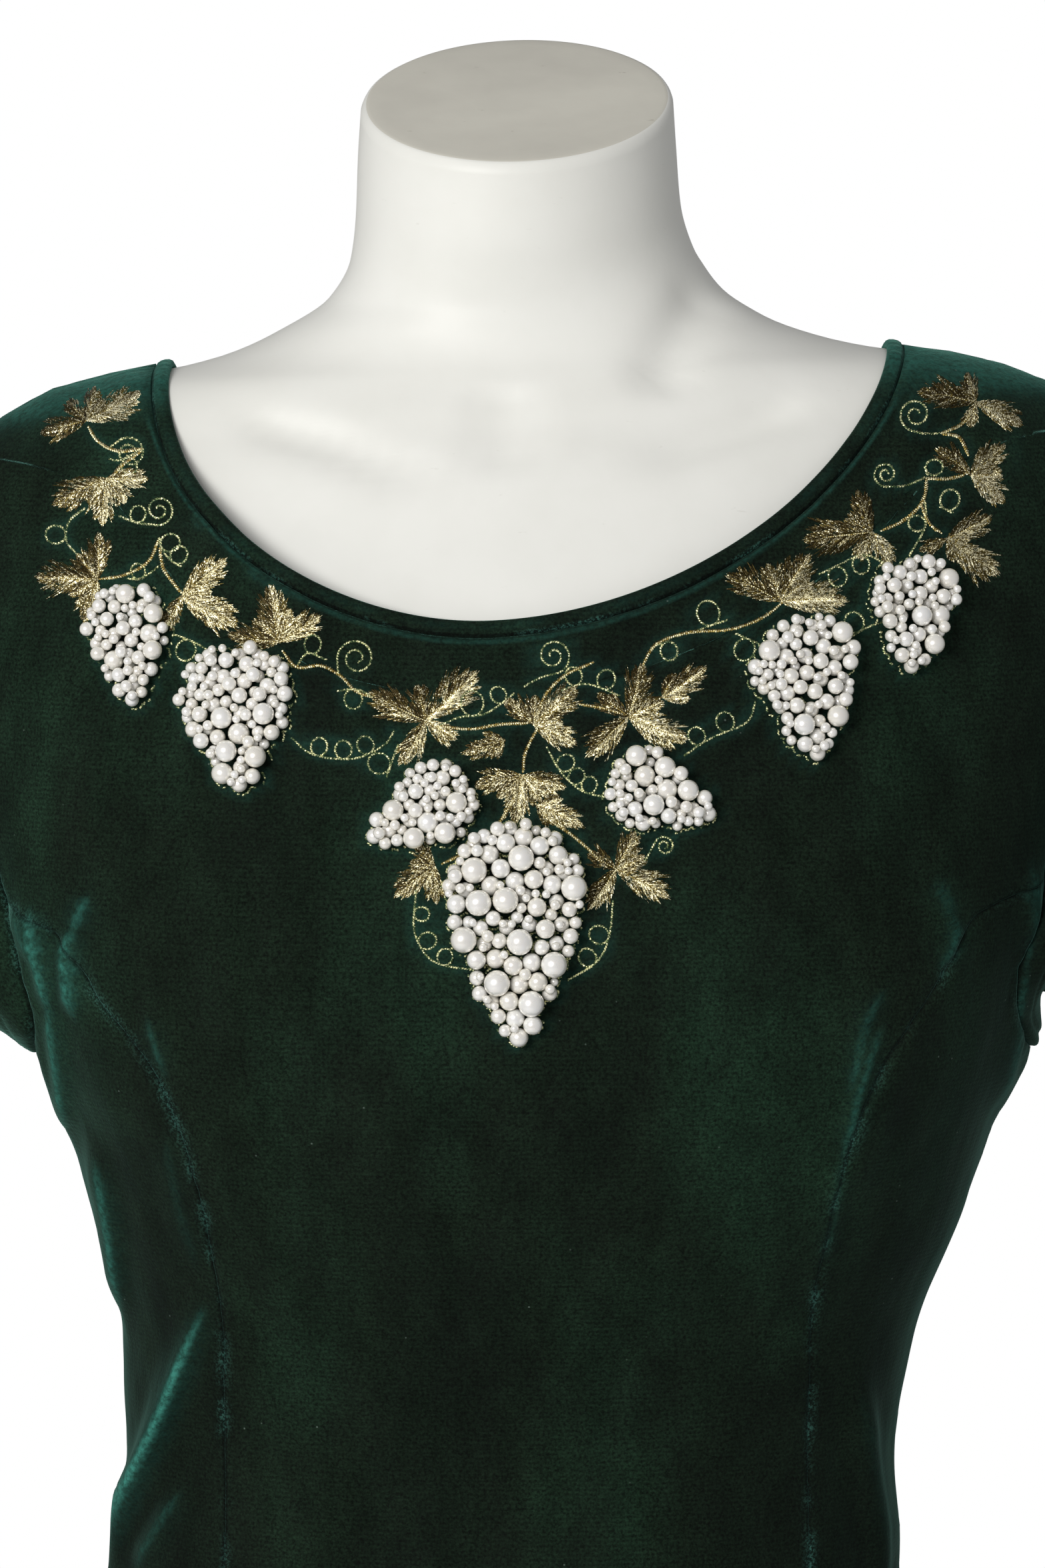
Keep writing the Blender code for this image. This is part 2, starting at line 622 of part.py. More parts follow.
def make_binding(collection, finish):
    """A folded band round the neck; its section goes up from the panels' edge."""
    quarter = [90 * column for column in HALF_COLUMNS]
    ways = quarter + [180 - way for way in reversed(quarter[:-1])]
    ways += [360 - way for way in reversed(ways[1:-1])]
    start = SEAM_GAP + 0.1
    section = ((start, 0.3), (1.6, 0.9), (4.6, 0.9), (BINDING_WIDTH, -0.3),
               (BINDING_WIDTH, -1.4), (4.6, -CLOTH), (start, -CLOTH))
    rings = []
    for way in ways:
        point = dress_point(*neck_edge(way))
        normal = normal_of(dress_point, *neck_edge(way))
        along = dress_point(*neck_edge(way + 1)) - dress_point(*neck_edge(way - 1))
        inward = normal.cross(along).normalized()
        rings.append([point + inward * up + normal * out for up, out in section])
    points = [p for ring in rings for p in ring]
    size = len(section)
    faces = []
    for i in range(len(rings)):
        for j in range(size):
            k, n = (i + 1) % len(rings), (j + 1) % size
            faces.append([i * size + j, k * size + j, k * size + n, i * size + n])
    return add_object("neck_binding", mesh_of("neck_binding", points, faces), collection, finish)


# ---- Pearl bunches ------------------------------------------------------------------------------
def bunch_half_width(share, width):
    """Half width of a bunch at a share of the way from its top to its tip."""
    shoulder = math.sqrt(1 - (1 - min(max(share, 0.0) / 0.36, 1.0)) ** 2)
    return width / 2 * shoulder * max(1 - max(share - 0.36, 0) / 0.64, 0.0) ** 0.62


def touching(one, other, radius):
    """The two places where a pearl of a radius touches two others, as seen from the front."""
    (ax, ay, a_radius), (bx, by, b_radius) = one[:3], other[:3]
    a, b = (PEARL_NEARNESS * (radius + r) + 0.05 for r in (a_radius, b_radius))
    away = math.hypot(bx - ax, by - ay)
    if not 1e-6 < away < a + b:
        return ()
    along = (a * a - b * b + away * away) / (2 * away)
    off = math.sqrt(max(a * a - along * along, 0.0))
    ux, uy = (bx - ax) / away, (by - ay) / away
    return tuple((ax + ux * along - uy * off * s, ay + uy * along + ux * off * s) for s in (-1, 1))


def pearl_lift(x, y, radius, pearls):
    """How far a pearl stands off the cloth to clear the others, or None where it can't."""
    near = [(z + r, math.sqrt(max((radius + r) ** 2 - (x - px) ** 2 - (y - py) ** 2, 0.0)))
            for px, py, r, z, _ in pearls]
    for centre in sorted([radius] + [z + need for z, need in near]):
        if centre >= radius and all(abs(centre - z) > need - 1e-6 for z, need in near):
            return centre - radius if centre - radius < PEARL_MOST_LIFT else None
    return None


def pearl_place(radius, width, length, pearls):
    """The lowest free place (x, y, lift) for a pearl that touches two others, or None."""
    best = None
    for i, one in enumerate(pearls):
        for other in pearls[:i]:
            if abs(one[1] - other[1]) > 4 * PEARLS[0][0]:
                continue
            for x, y in touching(one, other, radius):
                reach = bunch_half_width(y / length, width) - radius * 0.75 + 0.9
                if y < radius * 0.9 or abs(x) > reach or (best and y <= best[1]):
                    continue
                if all(math.hypot(x - p[0], y - p[1]) > PEARL_NEARNESS * (radius + p[2])
                       for p in pearls):
                    lift = pearl_lift(x, y, radius, pearls)
                    best = best if lift is None else (x, y, lift)
    return best


def place_pearls(width, length, scale, seed):
    """Pearls of a bunch, (x, y, radius, lift, rings), y down from 0 to length, from the tip up."""
    draw = random.Random(seed)
    kinds = [(radius * scale, share, rings) for radius, share, rings in PEARLS]
    tip = kinds[1][0]
    pearls = [(0.0, length - tip, tip, 0.0, kinds[1][2])]
    pearls.append((0.3 * draw.choice((-tip, tip)), length - 3 * tip, tip, 0.0, kinds[1][2]))
    place = True
    while place:
        for radius, _, rings in sorted(kinds, key=lambda k: -draw.random() ** (1 / k[1])):
            place = pearl_place(radius, width, length, pearls)
            if place:
                pearls.append((*place[:2], radius, place[2], rings))
                break
    return pearls


def bunch_outline(width, length, count=22):
    """Points round the bunch's backing, a little outside its pearls."""
    right = []
    for i in range(count // 2 + 1):
        share = (1 - math.cos(PI * i / (count // 2))) / 2
        right.append((bunch_half_width(share, width) + 1.0, -0.5 + share * (length + 1.0)))
    left = [(-x, y) for x, y in reversed(right)]
    return left + right


def dome_points(x, y, radius, lift, rings):
    """Points (x, y, height over the cloth) of one pearl's dome."""
    made = [(x, y, lift + 2 * radius)]
    for share, rise, turn in ((0.95, 0.95, 0.0), (0.60, 1.78, 30.0))[:rings]:
        for i in range(6):
            cos, sin = unit(60 * i + turn)
            made.append((x + radius * share * cos, y + radius * share * sin, lift + radius * rise))
    return made


def inside(x, y, outline):
    """Whether a point is inside a closed outline, and over 0.4 mm from its sides."""
    crossings = 0
    for (ax, ay), (bx, by) in zip(outline, outline[1:] + outline[:1]):
        if (ay > y) != (by > y) and x < ax + (y - ay) / (by - ay) * (bx - ax):
            crossings += 1
        size = math.hypot(bx - ax, by - ay)
        share = ((x - ax) * (bx - ax) + (y - ay) * (by - ay)) / max(size * size, 1e-9)
        share = min(max(share, 0.0), 1.0)
        if math.hypot(x - mix(ax, bx, share), y - mix(ay, by, share)) < 0.4:
            return False
    return crossings % 2 == 1


def triangles_inside(points, rim):
    """Delaunay triangles of flat points whose first rim points are the outline."""
    flat = [Vector((p[0], p[1])) for p in points]
    made = delaunay_2d_cdt(flat, [], [list(range(rim))], 1, 1e-5)
    return made[0], made[2], made[3]


def make_bunch(row, collection, finish):
    """A bunch: a thin backing on the cloth with its large pearls raised as domes."""
    name, centre_x, centre_height, width, length, turn, scale, seed = row
    cos, sin = unit(turn)

    def on_cloth(x, y, out):
        down = y - length / 2
        place_x = centre_x + x * cos + down * sin
        point, normal = front_place(place_x, centre_height + x * sin - down * cos)
        return point + normal * out

    outline = bunch_outline(width, length)
    top = [(x, y, BUNCH_BACKING + 0.3) for x, y in outline]
    pearls = place_pearls(width, length, scale, seed)
    taken = []
    for pearl in pearls:
        others = [p for p in pearls if p is not pearl and p[4]]
        for point in dome_points(*pearl):
            clear = all(math.dist(point[:2], other[:2]) > 0.55 for other in taken)
            under = any(math.dist(point[:2], p[:2]) < 0.9 * p[2] for p in others)
            if clear and not under and inside(*point[:2], outline):
                taken.append(point)
    top += taken
    bottom = [(x, y, 0.3) for x, y in outline]
    bottom += [(x * 0.5, mix(length * 0.45, y, 0.5), 0.3) for x, y in outline[::2]]
    points, faces = [], []
    for layer, flip in ((top, False), (bottom, True)):
        flat, triangles, origins = triangles_inside(layer, len(outline))
        first = len(points)
        for place, origin in zip(flat, origins):
            points.append(on_cloth(place.x, place.y, layer[origin[0]][2]))
        for triangle in triangles:
            faces.append([first + i for i in (reversed(triangle) if flip else triangle)])
        if not flip:
            second = len(points)
    rim = len(outline)
    for i in range(rim):
        j = (i + 1) % rim
        faces.append([i, j, second + j, second + i])
    return add_object(name, mesh_of(name, points, faces), collection, finish)


# ---- Zip pull at the centre back -----------------------------------------------------------------
ZIP_HEIGHT = 1346.0
SLIDER_SIZE = (5.0, 1.8, 9.0)  # across, out of the cloth, up
LUG_SIZE, LUG_SPREAD = (1.0, 2.4, 3.0), 3.4  # the two lugs that hold the pull's eye
EYE_RADIUS, EYE_LENGTH = 0.8, 1.8
AXLE_OUT = 0.3 + SLIDER_SIZE[1] + 1.3  # from the cloth to the pull's axis
TAB_SIZE = (4.4, 1.0, 15.0)


def box_mesh(name, size, centre):
    work = bmesh.new()
    bmesh.ops.create_cube(work, size=1.0)
    bmesh.ops.scale(work, vec=Vector(size) * MM, verts=work.verts)
    bmesh.ops.translate(work, vec=Vector(centre) * MM, verts=work.verts)
    mesh = bpy.data.meshes.new(name)
    work.to_mesh(mesh)
    work.free()
    return mesh


def add_union(target, mesh, cutters):
    """Joins another solid to the target with a Boolean."""
    tool = bpy.data.objects.new(mesh.name, mesh)
    tool.hide_render = True
    tool.display_type = "WIRE"
    tool.matrix_world = target.matrix_world
    cutters.objects.link(tool)
    modifier = target.modifiers.new("join " + mesh.name, "BOOLEAN")
    modifier.operation = "UNION"
    modifier.object = tool


def make_zip_pull(collection, cutters, finish):
    """A slider on the centre back seam, and its pull tab on an axis between two lugs."""
    seat = dress_point(180, ZIP_HEIGHT)
    out = normal_of(dress_point, 180, ZIP_HEIGHT)
    out.x = 0.0
    out.normalize()
    across_axis = Vector((-1, 0, 0))
    up = across_axis.cross(out) * -1
    turn = Matrix((-across_axis, out, up)).transposed()
    slider = add_object("zip_slider", box_mesh("zip_slider", SLIDER_SIZE, (0, 0, 0)),
                        collection, finish)
    middle = seat + out * (0.3 + SLIDER_SIZE[1] / 2)
    slider.matrix_world = Matrix.Translation(middle * MM) @ turn.to_4x4()
    for side in (-1, 1):
        lug_out = SLIDER_SIZE[1] / 2 + LUG_SIZE[1] / 2 - 0.3
        centre = (side * LUG_SPREAD / 2, lug_out, 1.0)
        add_union(slider, box_mesh(f"zip_lug_{side + 1}", LUG_SIZE, centre), cutters)
    bpy.ops.mesh.primitive_cylinder_add(
        vertices=12, radius=EYE_RADIUS * MM, depth=EYE_LENGTH * MM, rotation=(0, PI / 2, 0))
    pull = bpy.context.object
    pull.name = pull.data.name = "zip_pull"
    bpy.ops.object.transform_apply(location=False, rotation=True, scale=False)
    for owner in pull.users_collection:
        owner.objects.unlink(pull)
    collection.objects.link(pull)
    pull.data.materials.append(finish)
    axle = seat + out * AXLE_OUT + up * 1.0
    pull.matrix_world = Matrix.Translation(axle * MM) @ turn.to_4x4()
    neck = (EYE_LENGTH - 0.2, TAB_SIZE[1], 4.0)
    add_union(pull, box_mesh("zip_tab_neck", neck, (0, 0, -2.2)), cutters)
    tab = box_mesh("zip_tab", TAB_SIZE, (0, 0, -3.4 - TAB_SIZE[2] / 2))
    add_union(pull, tab, cutters)


# ---- Form and stand ------------------------------------------------------------------------------
def form_point(angle, height):
    sizes = {name: FORM[name](height) for name in FORM_COLUMNS[1:]}
    forward = sizes.pop("forward")
    point = level_point(angle, height, **sizes)
    lean = NECK_TILT * ease_in((height - NECK_TILT_FROM) / (FORM_SECTIONS[-1][0] - NECK_TILT_FROM))
    cos, sin = unit(lean)
    return worn(Vector((point.x, point.y * cos - forward, height + point.y * sin)))


def make_form(collection, finish):
    """The limbless torso and neck, closed below the hips and by a flat cap on the neck."""
    heights = []
    for (low, *_), (high, *_) in zip(FORM_SECTIONS, FORM_SECTIONS[1:]):
        heights += [low] if high - low < 45 else [low, (low + high) / 2]
    heights.append(FORM_SECTIONS[-1][0])
    points = []
    for height in heights:
        points += [form_point(360 * i / FORM_RING_POINTS, height) for i in range(FORM_RING_POINTS)]
    size = FORM_RING_POINTS
    faces = [list(range(size)), [size * (len(heights) - 1) + i for i in range(size)]]
    for row in range(len(heights) - 1):
        for i in range(size):
            j = (i + 1) % size
            faces.append([row * size + i, row * size + j, (row + 1) * size + j, (row + 1) * size + i])
    return add_object("form_torso", mesh_of("form_torso", points, faces), collection, finish)


def turned(name, profile, collection, finish, steps=32):
    """A closed profile of (radius, height), from the axis round to the axis, turned about Z."""
    mesh = bpy.data.meshes.new(name)
    mesh.from_pydata([(r * MM, 0, z * MM) for r, z in profile], [(i, i + 1) for i in range(len(profile) - 1)], [])
    made = bpy.data.objects.new(name, mesh)
    collection.objects.link(made)
    mesh.materials.append(finish)
    screw = made.modifiers.new("turn", "SCREW")
    screw.steps = screw.render_steps = steps
    screw.use_merge_vertices = True
    screw.merge_threshold = 0.00001
    screw.use_smooth_shade = True
    return made


def make_stand(collection, finish):
    """A round foot with a socket, and a pole with the flange that carries the form."""
    boss_top, bore, clear = 48.0, POLE_RADIUS + 0.3, 0.3
    turned("stand_foot", [
        (0, FOOT_THICKNESS), (bore, FOOT_THICKNESS), (bore, boss_top), (21, boss_top),
        (23, boss_top - 3), (25, FOOT_THICKNESS + 5), (30, FOOT_THICKNESS),
        (FOOT_RADIUS - 4, FOOT_THICKNESS), (FOOT_RADIUS, FOOT_THICKNESS - 3), (FOOT_RADIUS, 0), (0, 0),
    ], collection, finish)
    top = FORM_BOTTOM_HEIGHT - clear
    turned("stand_pole", [
        (0, top), (45, top), (45, top - 5), (18, top - 9), (POLE_RADIUS, top - 30),
        (POLE_RADIUS, FOOT_THICKNESS + clear), (0, FOOT_THICKNESS + clear),
    ], collection, finish)


# ---- Everything ----------------------------------------------------------------------------------
def main():
    for item in list(bpy.data.objects):
        bpy.data.objects.remove(item)
    part = bpy.data.collections.new("cocktail_dress_on_form")
    cutters = bpy.data.collections.new("joined_shapes")
    for collection in (part, cutters):
        bpy.context.scene.collection.children.link(collection)
    velvet = material("velvet", (0.004, 0.030, 0.020), 0.85)
    shell = material("form_white", (0.80, 0.80, 0.77), 0.45)
    steel = material("steel", (0.55, 0.55, 0.56), 0.30, 1.0)
    pearl = material("pearl", (0.86, 0.83, 0.77), 0.20)
    brass = material("zip_metal", (0.02, 0.09, 0.06), 0.40, 1.0)
    make_centre_front(part, velvet)
    for side, name in ((-1, "right"), (1, "left")):
        make_side_front("side_front_" + name, side, part, velvet)
        make_back("back_" + name, side, part, velvet)
        make_sleeve("sleeve_" + name, side, part, velvet)
    make_binding(part, velvet)
    for row in BUNCHES:
        make_bunch(row, part, pearl)
    make_zip_pull(part, cutters, brass)
    make_form(part, shell)
    make_stand(part, steel)


main()
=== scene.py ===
"""Looks of the velvet cocktail dress on its dress form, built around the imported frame.

Lengths in the tables are millimetres, unless a comment says that they are pixels of the
photograph, which is 1568 x 2352. The worn surface is the same as in the part's source: a place on
it is an angle (0 at the centre front, 90 at the side seam on +X, 180 at the centre back) and a
height. Here it also gets the narrow folds, seams and puckers that the solids leave out.
"""

import math
import random

import bpy
import numpy as np
from mathutils import Matrix, Vector, noise
from mathutils.bvhtree import BVHTree
from mathutils.kdtree import KDTree


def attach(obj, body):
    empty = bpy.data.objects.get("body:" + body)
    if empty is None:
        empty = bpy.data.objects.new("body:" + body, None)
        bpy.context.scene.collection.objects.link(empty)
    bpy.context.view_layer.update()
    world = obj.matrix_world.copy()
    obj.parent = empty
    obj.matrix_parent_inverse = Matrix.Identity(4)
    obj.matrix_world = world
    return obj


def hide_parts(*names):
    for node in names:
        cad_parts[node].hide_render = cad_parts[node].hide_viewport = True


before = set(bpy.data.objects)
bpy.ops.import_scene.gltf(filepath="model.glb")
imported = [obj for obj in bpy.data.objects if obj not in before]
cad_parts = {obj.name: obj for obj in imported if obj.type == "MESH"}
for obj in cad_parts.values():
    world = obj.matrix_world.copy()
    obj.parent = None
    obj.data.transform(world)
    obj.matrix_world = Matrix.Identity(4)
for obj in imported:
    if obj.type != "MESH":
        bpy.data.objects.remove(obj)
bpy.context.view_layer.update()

BODY = "dress_and_form"
MM = 0.001
CLOTH = 2.0
HEM_HEIGHT = 500.0
UNDERARM_HEIGHT = 1189.0
SHOULDER_POINT_HEIGHT = 1392.0
NECK_SIDE_HEIGHT = 1419.5
FRONT_NECK_HEIGHT = 1332.5
FRONT_NECK_SHIFT = -11.0
FRONT_NECK_POWER, BACK_NECK_POWER = 1.7, 2.0
BACK_NECK_HEIGHT = 1362.0
WORN_TILT = 0.028
TILT_FROM, TILT_TO = 1100.0, 1300.0

# ---- Sections of the worn dress and of the form, as in the part's source ----------------------------
DRESS_COLUMNS = ("height", "left", "right", "front", "back", "power")
DRESS_SECTIONS = (
    (470.0, 278.9, 278.9, 208.7, 210.5, 2.10),
    (500.0, 272.0, 272.0, 203.0, 205.0, 2.10),
    (600.0, 249.0, 249.0, 184.0, 187.0, 2.12),
    (700.0, 226.0, 226.0, 166.0, 169.0, 2.15),
    (800.0, 203.0, 202.0, 148.0, 151.0, 2.20),
    (860.0, 190.0, 187.0, 134.0, 139.0, 2.20),
    (900.0, 180.0, 175.0, 124.0, 130.0, 2.20),
    (940.0, 167.0, 161.0, 114.0, 118.0, 2.20),
    (980.0, 153.0, 145.0, 106.0, 105.0, 2.20),
    (1015.0, 135.0, 128.0, 101.0, 94.0, 2.25),
    (1049.0, 131.0, 126.0, 99.0, 87.0, 2.30),
    (1093.0, 132.0, 133.0, 106.0, 88.0, 2.30),
    (1138.0, 142.0, 150.0, 120.0, 94.0, 2.35),
    (1165.0, 149.5, 158.0, 128.0, 98.0, 2.40),
    (1189.0, 158.5, 167.0, 132.0, 102.0, 2.40),
    (1225.0, 171.0, 177.0, 132.0, 104.0, 2.40),
    (1260.0, 181.0, 185.0, 125.0, 104.0, 2.35),
    (1300.0, 189.0, 193.0, 113.0, 101.0, 2.30),
    (1330.0, 193.0, 197.0, 102.0, 96.0, 2.25),
    (1360.0, 192.5, 200.5, 90.0, 87.0, 2.15),
    (1375.0, 190.0, 198.0, 82.0, 81.0, 2.05),
    (1388.0, 185.5, 193.5, 74.0, 74.0, 2.00),
    (1396.0, 179.5, 187.5, 68.0, 68.0, 2.00),
    (1403.0, 172.0, 180.0, 63.0, 63.0, 2.00),
    (1409.0, 160.0, 168.0, 58.5, 59.0, 2.00),
    (1414.0, 146.5, 154.5, 54.0, 55.0, 2.00),
    (1417.5, 132.0, 140.0, 51.0, 52.5, 2.00),
    (1419.5, 120.0, 128.0, 49.5, 51.0, 2.00),
    (1426.0, 84.0, 92.0, 46.0, 48.0, 2.00),
)
# The princess seam's distance from the centre at each height.
PRINCESS_SEAM = (
    (500.0, 138.0),
    (700.0, 120.0),
    (860.0, 107.0),
    (950.0, 99.0),
    (1030.0, 96.0),
    (1082.0, 95.5),
    (1128.0, 98.0),
    (1154.0, 101.5),
    (1175.0, 106.0),
    (1193.0, 113.0),
    (1205.0, 120.5),
    (1218.0, 131.5),
    (1230.0, 139.5),
    (1238.0, 146.5),
)
# Broad folds: angle and height of either end, width, rise.
FOLDS = (
    (-62.0, 1238.0, -78.0, 1168.0, 9.0, 3.5),
    (-66.0, 1160.0, -76.0, 1105.0, 11.0, 3.0),
    (-50.0, 1102.0, -84.0, 1008.0, 10.0, 4.0),
    (-60.0, 1000.0, -78.0, 900.0, 18.0, 5.0),
    (66.0, 1246.0, 84.0, 1176.0, 10.0, 3.5),
    (41.0, 1216.0, 39.0, 1150.0, 9.0, 2.0),
    (84.0, 1196.0, 92.0, 1150.0, 12.0, 2.5),
    (57.0, 1082.0, 70.0, 1010.0, 10.0, 3.0),
    (122.0, 1210.0, 104.0, 1120.0, 15.0, 4.0),
    (-122.0, 1210.0, -104.0, 1120.0, 15.0, 4.0),
    (150.0, 1105.0, 118.0, 1020.0, 16.0, 4.0),
    (-150.0, 1105.0, -118.0, 1020.0, 16.0, 4.0),
)
BUST_ANGLE, BUST_HEIGHT, BUST_SPREAD, BUST_FULLNESS = 40.0, 1205.0, 46.0, 5.0
FLUTE_COUNT, FLUTE_TOP_HEIGHT, FLUTE_DEPTH = 8, 900.0, 10.0
ARMHOLE_FRONT = (21.9, 4.9, 4.9)
ARMHOLE_BACK = (21.0, 2.0, 4.0)
PRINCESS_WAY = 360 / 28 * 5  # where the princess seam meets the armhole, in degrees round it
MM_PER_DEGREE = 2.4  # along the cloth, near enough for folds and spacing
SLEEVE_HEM_CENTRE = (203.0, -2.0, 1217.0)
LEFT_SLEEVE_LIFT = 8.0
SLEEVE_HEM_HALF_WIDTH, SLEEVE_HEM_HALF_DEPTH, SLEEVE_HEM_SLOPE = 35.0, 61.0, 34.0

# The form's front is rounder here than in the part's source from 1398.5 to 1440, its shell's neck base.
FORM_COLUMNS = ("height", "left", "right", "front", "back", "power", "forward")
FORM_SECTIONS = (
    (830.0, 160.0, 160.0, 104.0, 110.0, 2.20, 0.0),
    (845.0, 169.0, 169.0, 109.0, 115.0, 2.20, 0.0),
    (880.0, 168.0, 168.0, 108.0, 115.0, 2.20, 0.0),
    (940.0, 153.0, 152.0, 100.0, 104.0, 2.20, 0.0),
    (1000.0, 131.0, 127.0, 92.0, 88.0, 2.20, 0.0),
    (1050.0, 118.0, 114.0, 88.0, 77.0, 2.20, 0.0),
    (1090.0, 118.0, 118.0, 94.0, 77.0, 2.20, 0.0),
    (1140.0, 130.0, 132.0, 109.0, 84.0, 2.30, 0.0),
    (1190.0, 142.0, 146.0, 121.0, 91.0, 2.35, 0.0),
    (1230.0, 154.0, 158.0, 121.0, 95.0, 2.30, 0.0),
    (1270.0, 166.0, 170.0, 114.0, 94.0, 2.25, 0.0),
    (1310.0, 175.0, 180.0, 104.0, 90.0, 2.20, 0.0),
    (1345.0, 180.0, 188.0, 91.0, 83.0, 2.10, 0.0),
    (1366.0, 181.0, 189.0, 80.5, 76.0, 2.05, 0.0),
    (1386.0, 181.5, 189.5, 71.0, 70.5, 2.00, 0.0),
    (1398.5, 173.6, 181.6, 62.8, 61.5, 2.00, 0.0),
    (1405.1, 163.1, 171.1, 59.5, 57.5, 2.00, 0.0),
    (1410.5, 149.4, 157.4, 56.6, 54.0, 2.00, 0.0),
    (1414.6, 133.9, 141.9, 54.5, 51.0, 2.00, 0.0),
    (1417.1, 119.6, 127.6, 53.3, 49.5, 2.00, 0.0),
    (1418.8, 110.0, 117.0, 52.4, 49.0, 2.00, 0.2),
    (1422.5, 95.5, 101.5, 50.8, 48.5, 2.00, 0.7),
    (1430.0, 78.3, 82.0, 48.6, 49.0, 2.00, 2.0),
    (1440.0, 62.3, 69.0, 47.6, 49.5, 2.00, 3.5),
    (1453.0, 55.0, 58.5, 48.5, 50.0, 2.00, 5.5),
    (1468.0, 53.2, 54.0, 50.0, 50.5, 2.00, 8.0),
    (1486.0, 52.5, 52.5, 51.0, 51.0, 2.00, 10.5),
    (1503.8, 51.3, 51.3, 51.5, 51.5, 2.00, 13.0),
)
NECK_TILT_FROM, NECK_TILT = 1425.0, 23.5

# ---- Camera: the photograph's place and lens ---------------------------------------------------------
PHOTO_WIDTH, PHOTO_HEIGHT = 1568, 2352
CAMERA_DISTANCE, CAMERA_ELEVATION = 2600.0, 5.0
PIXELS_PER_MM = 4.5  # at the distance of the aim
AIM = (1.8, 0.0, 1276.4)

# ---- Narrow folds of the velvet, placed in the photograph -------------------------------------------
# Three points (pixels), then width and rise (mm), and how bright the painted sheen on it is.
CREASES = (
    (47, 1366, 60, 1430, 77, 1514, 1.8, 3.4, 0.55),
    (75, 1498, 90, 1600, 100, 1692, 2.0, 3.0, 0.40),
    (24, 1366, 38, 1410, 56, 1440, 2.2, 1.6, 0.22),
    (130, 1346, 120, 1372, 111, 1398, 4.0, 0.8, 0.34),
    (112, 1392, 104, 1440, 112, 1524, 2.2, 3.4, 0.60),
    (140, 1742, 163, 1818, 181, 1962, 2.4, 2.6, 0.42),
    (304, 1968, 252, 2106, 148, 2340, 3.0, 4.2, 0.80),
    (272, 2240, 236, 2300, 206, 2352, 4.0, 2.2, 0.16),
    (220, 1530, 236, 1580, 247, 1614, 1.4, 0.9, 0.16),
    (196, 1484, 214, 1560, 262, 1660, 2.6, -1.2, 0.0),
    (250, 1700, 268, 1800, 296, 1900, 5.0, 0.8, 0.05),
    (1404, 1320, 1420, 1350, 1430, 1384, 4.0, 0.6, 0.16),
    (1424, 1372, 1432, 1410, 1410, 1450, 2.8, 2.0, 0.24),
    (1546, 1292, 1550, 1372, 1541, 1452, 1.7, 2.4, 0.16),
    (1541, 1448, 1526, 1545, 1494, 1666, 1.8, 2.6, 0.18),
    (1326, 1486, 1298, 1537, 1274, 1642, 1.8, 1.6, 0.17),
    (1322, 1540, 1297, 1606, 1262, 1736, 1.9, 2.0, 0.20),
    (1314, 1516, 1290, 1584, 1272, 1650, 1.3, -0.9, 0.0),
    (1262, 1733, 1254, 1800, 1232, 1900, 1.6, 0.8, 0.07),
    (1290, 2090, 1312, 2230, 1336, 2352, 5.0, 2.8, 0.05),
    (280, 786, 330, 790, 364, 840, 2.0, 1.2, 0.13),
    (364, 840, 386, 868, 452, 902, 1.8, 1.0, 0.10),
    (306, 812, 336, 820, 364, 846, 2.0, -0.9, 0.0),
    (64, 575, 84, 612, 96, 668, 7.0, 1.3, 0.04),
    (176, 560, 208, 600, 232, 650, 5.0, 1.0, 0.04),
    (1376, 545, 1398, 590, 1398, 640, 6.0, 1.2, 0.03),
    (1500, 600, 1518, 650, 1526, 720, 7.0, 1.4, 0.03),
)

LEAST_CREASE_WIDTH = 3.2  # mm; the grids can't show a narrower one
LEAST_GLOW_PIXELS = 5.0
CREASES_REACH_BACK = 40.0  # mm behind the side seams

# ---- Embroidery, in pixels of the photograph ------------------------------------------------------------
# A vine leaf: where its veins meet, then direction (degrees, 0 to the right, 90 up) and length of
# its middle lobe, of the left one and of the right one.
LEAVES = (
    (129, 631, 70, 50, 195, 67, 24, 89),
    (160, 718, 259, 67, 202, 87, 3, 60),
    (147, 868, 180, 90, 86, 66, 249, 66),
    (274, 893, 40, 82, 332, 92, 242, 56),
    (420, 963, 104, 84, 34, 70, 176, 76),
    (638, 1081, 44, 104, 156, 92, 246, 74),
    (801, 1087, 38, 84, 136, 56, 336, 68),
    (783, 1163, 258, 70, 188, 70, 344, 66),
    (943, 1074, 72, 78, 224, 84, 332, 93),
    (652, 1299, 212, 72, 268, 54, 128, 44),
    (924, 1303, 60, 62, 335, 88, 238, 70),
    (1170, 902, 63, 81, 147, 87, 6, 98),
    (1308, 798, 186, 100, 112, 64, 304, 58),
    (1420, 808, 23, 72, 321, 93, 208, 42),
    (1457, 713, 323, 62, 138, 63, 42, 66),
    (1464, 604, 164, 84, 108, 44, 340, 74),
)
# A small leaf: where it starts, its direction and its length.
SMALL_LEAVES = (
    (757, 1110, 202, 64),
    (806, 1208, 340, 74),
    (994, 1046, 32, 78),
)
